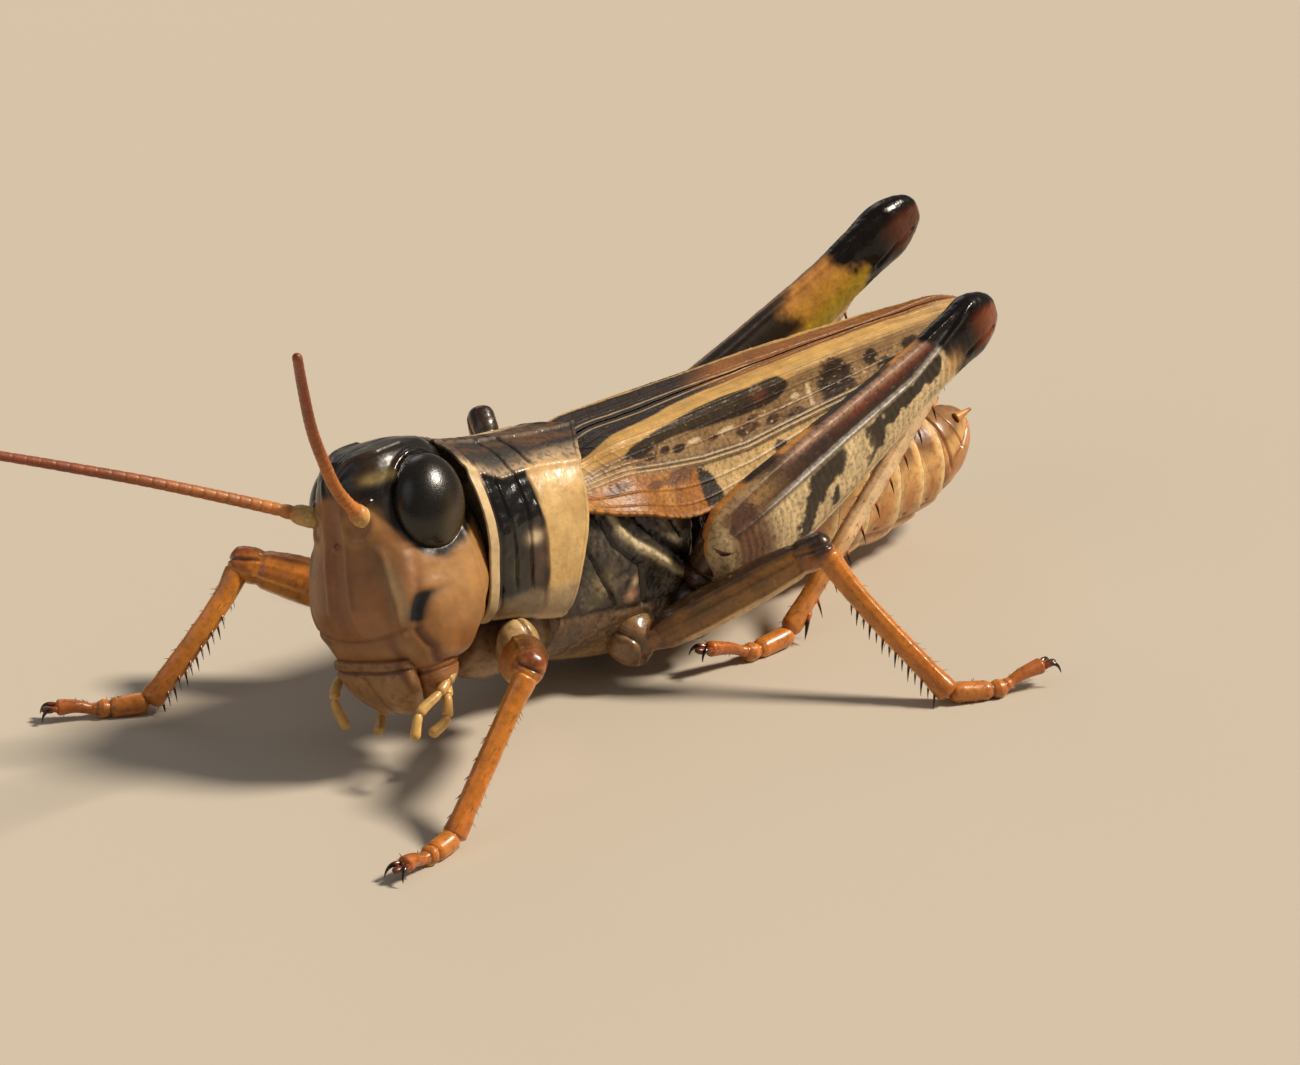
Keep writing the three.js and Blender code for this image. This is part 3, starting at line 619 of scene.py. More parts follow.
def mouth():
    rows = [[0, -6.56, 2.42, 1.08, 0.4], [0, -6.56, 2.1, 1.08, 0.38], [0, -6.4, 1.6, 0.95, 0.34]]
    rows += [[0, -6.15, 1.15, 0.62, 0.26], [0, -6, 0.95, 0.3, 0.14]]
    t, size = stations(90, 0.06, 0.12)
    p = even(tube(rows, t, size, 600, square=2.6, axis=DOWN), 130)
    x, y, z = axes(p)
    front = ease(-y - np.interp(z, [0.95, 1.6, 2.42], [6, 6.4, 6.56]), 0, 0.15)
    height = -0.05 * bump(z - 2.14, 0.035) - 0.035 * bump(x, 0.07) * band(z, 1.1, 2, 0.1)
    tip_notch = spot(x, z, (0, 0.98), (0.1, 0.12))
    height += 0.04 * bump(np.abs(x) - 0.42, 0.2) * band(z, 1.2, 2, 0.15) - 0.06 * tip_notch
    height = height * front + 0.012 * noise(p, 0.25, 8)
    paint = coats(
        "#c4a077",
        "#a67c52", ease(z, 1.9, 2.3) * 0.8,
        "#6a3a20", bump(z - 2.14, 0.05) * front * 0.9 + bump(np.abs(x) - 0.98, 0.08) * 0.7,
        "#8a5a38", bump(x, 0.09) * front * 0.4,
        "#8f6c4c", (0.5 + 0.5 * noise(p, 0.3, 9)) * 0.3,
    )
    face_part("upper_lip", "labrum", p, height, paint, 0.42)
    for letter, side in SIDES:
        rows = [[0.7, -5.75, 2.5, 0.5, 0.55], [0.76, -5.75, 1.95, 0.55, 0.55]]
        rows += [[0.64, -5.7, 1.5, 0.46, 0.42], [0.4, -5.7, 1.22, 0.22, 0.2]]
        t, size = stations(60, 0, 0.15)
        p = tube(np.array(rows) * [side, 1, 1, 1, 1], t, size, 90, square=2.6, axis=DOWN)
        z = p[..., 2]
        height = 0.02 * noise(p, 0.25, 14) - 0.03 * bump(z - 1.95, 0.04)
        paint = coats(
            "#b98a58",
            "#2a140b", ease(1.55 - z, 0, 0.35) * 0.9,
            "#7d4a28", bump(z - 1.95, 0.06),
        )
        face_part(f"jaw_{letter}", f"mandible_{letter}", p, height, paint, 0.35)
    rows = [[0, -5.1, 2.35, 0.8, 0.35], [0, -5.12, 1.9, 0.85, 0.33],
            [0, -5.28, 1.4, 0.65, 0.28], [0, -5.42, 1.1, 0.3, 0.14]]
    t, size = stations(60, 0, 0.12)
    p = tube(rows, t, size, 120, square=2.4, axis=DOWN)
    x, y, z = axes(p)
    height = 0.015 * noise(p, 0.25, 15) - 0.05 * bump(x, 0.05) - 0.03 * bump(z - 1.75, 0.05)
    paint = coats("#bf9159", "#7d5230", bump(x, 0.08) + bump(z - 1.75, 0.07))
    face_part("lower_lip", "labium", p, height, paint, 0.42)


# Middle lines of the palps, then where along them their joints lie.
PALPS = {
    "maxillary_palp_l": [[1.12, -5.45, 1.78], [1.2, -6.06, 1.47], [1.12, -6.68, 1.2], [1.1, -6.96, 0.73]],
    "maxillary_palp_r": [[-1.12, -5.6, 1.78], [-1.36, -6.3, 1.85], [-1.25, -6.76, 1.5], [-1.1, -6.74, 0.85]],
    "labial_palp_l": [[0.7, -5.35, 1.42], [0.93, -5.64, 1.2], [0.97, -5.85, 0.8], [0.9, -6.32, 0.61]],
    "labial_palp_r": [[-0.7, -5.35, 1.42], [-0.93, -5.64, 1.2], [-0.97, -5.85, 0.8], [-0.8, -6.2, 0.6]],
}
PALP_JOINTS = {"maxillary": [0.16, 0.34, 0.66], "labial": [0.28, 0.6]}


def palps():
    for name, points in PALPS.items():
        t = steps(130)
        radius, dark = np.full_like(t, 0.1), np.zeros_like(t)
        edges = [0, *PALP_JOINTS[name.split("_")[0]], 1]
        for a, b in zip(edges[:-1], edges[1:]):
            share = clamp((t - a) / (b - a))
            radius += np.where((t >= a) & (t <= b), 0.026 * share - 0.006, 0)
        for at in edges[1:-1]:
            radius *= 1 - 0.2 * bump(t - at - 0.012, 0.03)
            dark += bump(t - at - 0.01, 0.03)
        radius *= rounded(t, 0, 0.07)
        p = pipe(spline(points, t), radius, radius, 26)
        paint = coats(
            "#d8b468",
            "#a8703a", dark[:, None] * 0.4,
            "#c8944c", 0.4 + 0.4 * noise(p, 0.4, 16),
        )
        Piece().add(on_head(p), paint, 0.4, 0.2, 0.15).done(f"{name}_skin", [name], "shell_pale", LIMB)


# ---- Pronotum ----
EDGE_TURNS = {  # how far each added ring shrinks and slips along the body
    "front": [(0.9, 0.5), (0.93, 0.12), (0.965, 0)],
    "back": [(0.97, 0), (0.93, -0.1), (0.9, -0.6)],
}


def rear_edge(x, z):
    """y of the rear edge: it runs forward from the middle and again down the side."""
    return -0.8 * np.minimum(np.abs(x), 1.3) - 0.24 * np.maximum(0, 5.36 - z)


def pronotum():
    t = np.concatenate([np.linspace(0, 0.9, 190), np.linspace(0.9, 1, 41)[1:]])[:, None]
    angle = circle(1600)
    top, bottom = lerp(6.3, 5.66, t) - 0.1 * np.sin(np.pi * t), lerp(2.62, 2.1, t)
    corner = np.where(np.sin(angle) > 0, 5, 3.4)  # squarer below
    tall = power(-np.sin(angle), 2 / corner)
    wide = lerp(1.85 - 0.12 * (1 - t), lerp(0.95, 1.3, t) + 0.12, np.maximum(0, tall) ** 1.5)
    x = power(np.cos(angle), 2 / corner) * wide
    z = (top + bottom) / 2 + tall * (top - bottom) / 2
    p = even(np.stack([x, lerp(-4.05, rear_edge(x, z), t), z], -1), 400)
    x, y, z = axes(p)
    ax = np.abs(x)
    keel_z = np.interp(y, [-4.1, -3.2, -2.2, -1], [6.02, 5.62, 5.58, 5.42])
    side_keel = bump(z - keel_z, 0.075) * ease(ax, 0.6, 0.8)
    middle_keel = bump(x, 0.05) * ease(z, 5, 5.4)
    disc_part = ease(z, keel_z - 0.05, keel_z + 0.1)
    lobe = 1 - disc_part
    bend = 0.1 * np.sin(2.2 * (z - 3.2))
    sulci = bump(y + 3.34 - 0.5 * bend, 0.035) * band(z, 3.4, 5.75, 0.2)
    sulci += bump(y + 2.86 + 0.4 * bend, 0.04) * ease(z, 3.1, 3.4)
    principal = bump(y + 2.22 + 0.12 * np.clip(5.4 - z, 0, 3), 0.04) * disc_part
    collar = ease(-y, 3.76, 3.84)
    from_rear = rear_edge(x, z) - y
    hem = ease(0.13 - from_rear, 0, 0.06)
    low = z - np.interp(y, [-4.05, -1.5], [2.62, 2.1])
    rim = ease(0.24 - low, 0, 0.1)
    pad = lobe * ease(y, -2.58, -2.42) * ease(from_rear, 0, 0.16)
    black = lobe * band(y, -3.72, -2.5, 0.05) * ease(z, 3, 3.2)
    height = 0.05 * side_keel + 0.06 * middle_keel * (1 - 0.8 * bump(y + 2.22, 0.05))
    height += -0.055 * sulci * (1 - 0.5 * middle_keel) - 0.07 * principal + 0.05 * collar + 0.03 * hem
    height += 0.04 * rim + 0.05 * pad + 0.045 * black * noise(p, 0.34, 21)
    height += 0.012 * noise(p, 0.3, 22) + 0.014 * noise(p, 0.09, 23) * disc_part
    height -= 0.03 * bump(y + 3.7, 0.06)
    height -= 0.012 * ease(0.35 - dots(p, 0.16, 24), 0, 0.15) * (disc_part + 0.4 * pad)
    made = raised(p, height)
    # Thin front and rear edges: the shell turns in and runs back under itself.
    front, back = (
        [ring.mean(0) + (ring - ring.mean(0)) * [shrink, 1, shrink] + [0, slip, 0] for shrink, slip in turns]
        for ring, turns in ((made[0], EDGE_TURNS["front"]), (made[-1], EDGE_TURNS["back"]))
    )
    made = np.concatenate([front, made, back])
    # Paint
    cloud, fine, streak = noise(p, 0.8, 25), noise(p, 0.13, 26), noise(p * [1, 0.35, 1], 0.3, 27)
    stripe = clamp(1.5 * bump(z - keel_z + 0.03, 0.15 + 0.05 * ease(y, -2.2, -1.4))) * ease(ax, 0.55, 0.75)
    paint = coats(
        "#2b1d15",
        "#5f3c1c", disc_part * ease(streak + 0.5 * ease(y, -2.3, -1.8), 0.15, 0.6) * 0.85,
        "#4a3a2a", disc_part * ease(fine, 0.1, 0.5) * 0.5,
        "#14100d", disc_part * band(ax, 0.55, 0.95, 0.12) * ease(y, -3.9, -3.5) * 0.75,
        "#bd9f7c", stripe * 0.95,
        "#110d0b", black,
        "#4d3524", spot(y, z, (-2.72, 3.75), (0.26, 0.62)) * lobe * 0.9,
        "#3f3b24", spot(y, z, (-3.35, 3.75), (0.16, 0.3)) * lobe * 0.7,
        "#b9a384", spot(y, z, (-2.78, 4.36), (0.2, 0.14)) * lobe * 1.3,
        "#cfab70", lobe * ease(y + 0.03 * noise(p, 0.5, 29) - 0.06 * bump(z - 3.9, 0.6), -2.53, -2.46),
        "#c2985a", pad * ease(cloud, -0.2, 0.5) * 0.5,
        "#a08a6a", lobe * ease(3.25 - z, 0, 0.35) * 0.85,
        "#6e5c48", lobe * ease(3.3 - z, 0, 0.2) * ease(-2.5 - y, 0, 0.2) * ease(y, -3.8, -3.6) * 0.6,
        "#c9b089", rim * 0.6,
        "#cbb083", collar * ease(ax, 0.6, 1.1),
        "#5f4a34", collar * ease(0.9 - ax, 0, 0.4) * ease(z, 5, 5.5) * 0.8,
        "#7d6a52", middle_keel * 0.6,
        "#1a1310", 0.55 * clamp(sulci + principal) * (0.4 + 0.6 * disc_part),
        # Painted shade: the closed underside of the shield, inside the lobes, is painted dark.
        "#3a281b", ease(0.12 - low, 0, 0.1) * ease(1.55 - ax, 0, 0.1),
    )
    paint = clouded(paint, 0.06 * fine)
    # The rings that turn under the rear edge are painted 0.6 as dark: painted shade under the rim.
    paint = np.concatenate([np.repeat(paint[:1], 3, 0), paint, np.repeat(paint[-1:] * 0.6, 3, 0)])
    rough = lerp(0.46, 0.2, black) - 0.05 * pad + 0.2 * disc_part
    finish = (rough, 0.35 + 0.4 * disc_part, 0.55 * disc_part + 0.12 * lobe)
    finish = (np.pad(value, ((3, 3), (0, 0)), mode="edge") for value in finish)
    Piece().add(made, paint, *finish).done("pronotum_shell", ["pronotum"], "shell_pale", PLATE)


# ---- Thorax and abdomen ----
def prosternum():
    rows = [[0, -3.9, 2.05, 0.92, 0.7125], [0, -3.3, 1.8, 1.15, 0.95], [0, -1.9, 1.8, 1.265, 0.9975]]
    t, size = stations(70, 0.15, 0)
    p = tube(rows, t, size, 160, square=2.5)
    x, y, z = axes(p)
    height = -0.06 * bump(y + 2.95, 0.06) - 0.03 * bump(x, 0.05) * ease(1.2 - z, 0, 0.2)
    height = height + 0.02 * noise(p, 0.3, 31)
    paint = coats(
        "#8d6c46",
        "#4a3220", ease(z, 1.5, 2.3) * 0.7,
        "#a98257", ease(1.1 - z, 0, 0.3) * 0.7,
        "#2a1a10", bump(y + 2.95, 0.07),
    )
    piece = Piece().add(raised(p, height), paint, 0.4, 0.4, 0.4)
    piece.done("front_breast", ["prosternum"], "shell_dark", PLATE)


# Sutures and the pale stripe on the thorax's side: a width, then points (y, z).
SUTURES = [
    (0.05, (-1.35, 4.4), (-1.25, 3.7), (-0.95, 3), (-0.5, 2.15)),
    (0.06, (-0.72, 4.1), (-0.5, 3.5), (0.2, 2.85), (0.3, 2)),
    (0.06, (1.1, 4.15), (1.25, 3.6), (1.52, 3.12)), (0.07, (1.9, 4.2), (2.05, 3.3), (1.9, 2.3)),
]
DEEP_SUTURE = [(0.15, 4.2), (0.32, 3.8), (0.85, 3.24), (1.6, 2.6)]
STRIPE = [(-0.5, 4.4), (-0.3, 3.78), (0.12, 3.35), (0.55, 3.04), (1.3, 2.45), (1.9, 2.1)]


def thorax():
    rows = [[0, -1.8, 2.85, 1.62, 1.95], [0, -0.9, 2.72, 1.8, 2.1], [0, 0.3, 2.6, 1.86, 2.22],
            [0, 1.5, 2.55, 1.82, 2.2], [0, 2.6, 2.55, 1.55, 1.95]]
    t, size = stations(175, 0, 0.03)
    p = even(tube(rows, t, size, 1200, square=2.5), 340)
    x, y, z = axes(p)
    side = ease(np.abs(x), 1.1, 1.4)
    pit = spot(y, z, (0.6, 2.42), (0.2, 0.34)) * side
    stripe = line(y, z, STRIPE, 0.085) * side
    sutures = sum(line(y, z, points, width) for width, *points in SUTURES)
    sutures = sutures + 0.8 * line(y, z, DEEP_SUTURE, 0.09)
    sutures = clamp((sutures + 0.5 * bump(z - 1.95 + 0.12 * y, 0.07)) * side)
    height = -0.09 * sutures - 0.1 * pit + 0.07 * stripe
    height += 0.05 * (1 - sutures) * side * noise(p, 0.5, 33) + 0.02 * noise(p, 0.14, 34)
    height -= 0.018 * ease(0.4 - dots(p, 0.15, 35), 0, 0.2) * side
    belly = ease(1 - z, 0, 0.3)
    height -= 0.04 * bump(y - 0.55, 0.05) * belly + 0.03 * bump(np.abs(x) - 0.75, 0.05) * belly
    made = raised(p, height)
    grain, cloud = noise(p, 0.09, 36), noise(p, 0.45, 37)
    low = ease(2.05 - 0.12 * y - z, 0, 0.25)
    pale = spot(y, z, (0.02, 2.56), (0.1, 0.13)) + spot(y, z, (0.8, 2.75), (0.12, 0.1))
    paint = coats(
        "#332c25",
        "#77695a", ease(0.6 * grain + 0.8 * cloud, 0.05, 0.8) * 0.5,
        "#857664", clamp(1.5 * spot(y, z, (1.15, 3.45), (0.42, 0.42))) * side * 0.8,
        "#6b5a3a", spot(y, z, (1.1, 2.35), (0.4, 0.3)) * side * 0.6,
        "#8b7a58", spot(y, z, (-0.85, 2.6), (0.3, 0.5)) * side * ease(cloud, -0.4, 0.4) * 0.8,
        "#c4ab84", pale * side * 0.9,
        "#b98a6a", spot(y, z, (-0.1, 2.25), (0.16, 0.14)) * side * 0.8,
        "#0e0a08", sutures * 0.95,
        "#0e0a08", line(y, z, DEEP_SUTURE, 0.12) * side * 1.3,
        "#0e0a08", pit * 1.6,
        "#0e0a08", clamp(line(y, z, STRIPE, 0.17) * 1.4) * side * 0.9,
        "#d3bf98", clamp(stripe * 1.8) * (0.9 + 0.1 * grain),
        "#6e5236", low * (0.85 + 0.15 * cloud),
        "#b09468", ease(1.35 - z, 0, 0.7) * 0.9,
        "#3a2415", low * (bump(y - 0.55, 0.07) + bump(np.abs(x) - 0.75, 0.06)) * belly,
        "#2a1d15", ease(z, 4.1, 4.4) * 0.8,
    )
    piece = Piece().add(made, paint, 0.34 + 0.08 * grain, 0.6, 0.3 * side + 0.1)
    piece.done("thorax_shell", ["pterothorax"], "shell_dark", PLATE)


# Rings: [x, y, z, half width, half height].
ABDOMEN_RINGS = np.array([
    [0, 2.8, 2.5, 1.5, 1.9], [0, 4.6, 2.25, 1.45, 1.8], [0, 7, 1.97, 1.4, 1.7], [0, 9.2, 1.84, 1.28, 1.5],
    [0, 10.9, 1.9, 1.06, 1.2],
])
TIP_RINGS = np.array([
    [0, 10.75, 1.89, 0.84, 0.98], [0, 11.05, 1.94, 0.93, 1.07], [0, 11.7, 2.12, 0.8, 0.9],
    [0, 12.2, 2.4, 0.5, 0.58], [0, 12.5, 2.58, 0.18, 0.22],
])
ABDOMEN_SEGMENTS = 8


def height_on(rows, t, p):
    """How high a point lies on a tube, from -1 below to 1 on the back."""
    return (p[..., 2] - spline(rows[:, :3], t)[:, 2:]) / spline(rows[:, 3:], t)[:, 1:]


def belly_paint(p, share, up):
    """up runs from -1 under the belly to 1 on the back; share is 0 at a segment's front and 1 at its rear."""
    fine, cloud = noise(p, 0.12, 41), noise(p, 0.5, 42)
    paint = coats(
        "#d2a262",
        "#a8652c", spot(share, up, (0.42, -0.28), (0.3, 0.34)) * 0.85,
        "#e2c690", (ease(share, 0.72, 0.9) + ease(0.12 - share, 0, 0.1)) * 0.8,
        "#6b3d1e", ease(up, 0.25, 0.6) * ease(0.75 - share, 0, 0.2) * 0.85,
        "#2a1910", ease(up, 0.55, 0.9) * ease(0.6 - share, 0, 0.25) * 0.8,
        "#c98b48", ease(-up, 0.72, 0.85) * 0.6,
        "#8a4a1e", bump(up + 0.62, 0.05) * 0.6,
        "#9a5626", bump(share, 0.05) + bump(share - 1, 0.03),
        "#8a5a30", ease(fine, 0.35, 0.7) * 0.45,
    )
    return clouded(paint, 0.06 * cloud)


def abdomen():
    t = steps(300)
    p = even(tube(ABDOMEN_RINGS, t, np.ones_like(t), 700, square=2.2), 200)
    share, up = (t * ABDOMEN_SEGMENTS % 1)[:, None], height_on(ABDOMEN_RINGS, t, p)
    # Each ring slips under the one before it: it swells to its rear edge and steps down.
    step = ease(share, 0.03, 0.85) * (1 - ease(share, 0.93, 1))
    height = 0.06 * step - 0.11 - 0.05 * bump(up + 0.62, 0.05)
    height = height + 0.015 * noise(p, 0.3, 43) + 0.005 * noise(p, 0.08, 44)
    stigma = spot(share, up, (0.3, -0.5), (0.07, 0.035))
    paint = coats(belly_paint(p, share, up), "#5a2c12", stigma)
    piece = Piece().add(raised(p, height - 0.04 * stigma), paint, 0.36, 0.3, 0.25)
    piece.done("abdomen_rings", ["abdomen"], "abdomen", BELLY)

    t, size = stations(120, 0, 0.12)
    p = tube(TIP_RINGS, t, size, 150)
    along, up = t[:, None], height_on(TIP_RINGS, t, p)
    joints = bump(along - 0.3, 0.02) * ease(up, -0.3, -0.1) + bump(along - 0.52, 0.02) * ease(up, -0.1, 0.1)
    split = bump(up - 0.02 - 0.25 * (along - 0.5), 0.06) * ease(along, 0.25, 0.4)
    height = -0.05 * joints - 0.06 * split + 0.015 * noise(p, 0.25, 45)
    paint = coats(belly_paint(p, 0.4 + 0 * up, np.clip(up, -1, 0.5)), "#8a4d22", clamp(joints + split) * 0.8)
    piece = Piece().add(raised(p, height), paint, 0.36, 0.3, 0.25)
    for side in (1, -1):
        s = steps(24)
        path = np.array([side * 0.42, 11.85, 2.72]) + s[:, None] * np.array([side * 0.1, 0.42, 0.16])
        wide = lerp(0.13, 0.03, s) * rounded(s, 0, 0.1)
        paint = coats("#cf9248", "#6b3a1a", ease(s, 0.6, 1)[:, None])
        piece.add(pipe(path, wide, wide, 16), paint, 0.4, 0.2, 0.2)
    piece.done("tail_plates", ["abdomen_tip"], "abdomen", BELLY)


# ---- Wings ----
# Rings from base to tip: [y, ridge z, fold x, fold z, lower edge x, lower edge z].
WING_RINGS = [
    [-1.42, 5.31, 0.95, 5.21, 1.76, 4.72],
    [0.2, 5.5, 0.98, 5.44, 2, 4.1],
    [1.75, 5.52, 0.97, 5.48, 2, 3.6],
    [3.6, 5.58, 0.9, 5.52, 1.74, 3.66],
    [6.6, 5.65, 0.75, 5.59, 1.4, 4.15],
    [9.8, 5.66, 0.6, 5.56, 1.02, 4.45],
    [11.9, 5.6, 0.48, 5.44, 0.78, 4.7],
    [13, 5.3, 0.4, 5.18, 0.52, 4.9],
]
WING_MIDLINE = 0.03  # the wings keep this far from x = 0
WING_END = 11.6  # y where the outline begins to round off


def wing_face(side, count, columns, first_y=-9, last_y=13):
    """The outer face: its points, their distance past the fold along the face, and its outward normals."""
    rows = spline(WING_RINGS, steps(count))
    rows = rows[(rows[:, 0] > first_y) & (rows[:, 0] <= last_y + 1e-6)]
    face, past = [], []
    for y, ridge, fold_x, fold_z, edge_x, edge_z in rows:
        steep = [fold_x + (edge_x - fold_x) * 0.3, fold_z - (fold_z - edge_z) * 0.38]
        edge = [edge_x, edge_z]
        points = np.array([[WING_MIDLINE, ridge], [fold_x * 0.55, ridge], [fold_x, fold_z], steep, edge])
        if y > WING_END:
            share = math.sqrt(max(1 - ((y - WING_END) / 1.42) ** 2, 0.02))
            points[:, 1] = lerp(5.2, points[:, 1], share)
            points[:, 0] = lerp(WING_MIDLINE, points[:, 0], 0.25 + 0.75 * share)
        dense = spline(points, steps(200))
        far = arc(dense)
        at = np.linspace(0, far[-1], columns)
        face.append(np.insert(read(dense, far, at), 1, y, 1))
        past.append(at - far[100])
    face = np.array(face) * [side, 1, 1]
    n = unit(np.cross(np.gradient(face, axis=0), np.gradient(face, axis=1)))
    return face, np.array(past), n * np.where((n[..., 2] + side * n[..., 0]).mean() < 0, -1, 1)


# Long veins from the ridge to the lower edge, and the spacing of cross-veins in the strips between.
VEIN_WIDTHS = [0.02, 0.014, 0.014, 0.026, 0.012, 0.018, 0.016, 0.022, 0.022, 0.018, 0.016]
VEIN_HEIGHTS = [0.035, 0.02, 0.02, 0.035, 0.012, 0.016, 0.016, 0.045, 0.045, 0.03, 0.025]
CROSS_VEIN_STEPS = np.array([0.5, 0.42, 0.4, 0.38, 0.5, 0.4, 0.24, 0.22, 0.9, 0.27, 0.23, 0.2])
# Upper and lower edge of the dark wedge on the fore wing: y, then distance past the fold.
WEDGE_TOP = [
    (0.3, 0.42), (0.62, 0.24), (1.61, 0.06), (2.75, -0.06), (3.6, -0.09), (4.4, -0.02), (5.1, -0.03),
    (5.45, 0.02), (5.72, 0.25),
]
WEDGE_FOOT = [
    (0.3, 0.44), (0.88, 0.6), (1.4, 0.42), (1.9, 0.37), (2.8, 0.43), (3.8, 0.52), (4.65, 0.56), (5.3, 0.53),
    (5.72, 0.35),
]
# Marks: y and distance past the fold of the middle, then both half sizes.
BLOTCHES = [
    (1.1, 0.6, 0.25, 0.1), (2, 0.66, 0.24, 0.11), (3.1, 0.72, 0.2, 0.07), (4.15, 0.84, 0.5, 0.14),
    # The big mark at y 7.25 is partly the wing's own dark blotch and partly the hind femur's cast shadow on
    # the wing, painted in.
    (5, 0.86, 0.3, 0.13), (5.75, 0.95, 0.4, 0.16), (7.25, 0.78, 0.72, 0.85), (7.1, 1.05, 0.35, 0.2),
    (8.5, 0.4, 0.3, 0.22), (9, 0.72, 0.4, 0.25), (9.9, 0.4, 0.35, 0.2), (10.4, 0.72, 0.25, 0.16),
    (0.75, 0.72, 0.2, 0.12), (1.6, 0.58, 0.2, 0.1), (4.4, 0.66, 0.2, 0.07), (11.2, 0.2, 0.2, 0.14),
    (12, 0.3, 0.2, 0.16), (5, 1.5, 0.28, 0.16), (6.5, 1.35, 0.25, 0.14),
]
PALE_MARKS = [
    (6.3, 0.68, 0.09, 0.36), (5.85, 0.62, 0.16, 0.09), (3.5, 0.66, 0.3, 0.05), (2.5, 0.62, 0.25, 0.06),
]
LOBE_MARKS = [(1.75, 1.2, 0.5, 0.2), (-0.1, 0.95, 0.5, 0.13), (0.95, 1.2, 0.3, 0.1)]


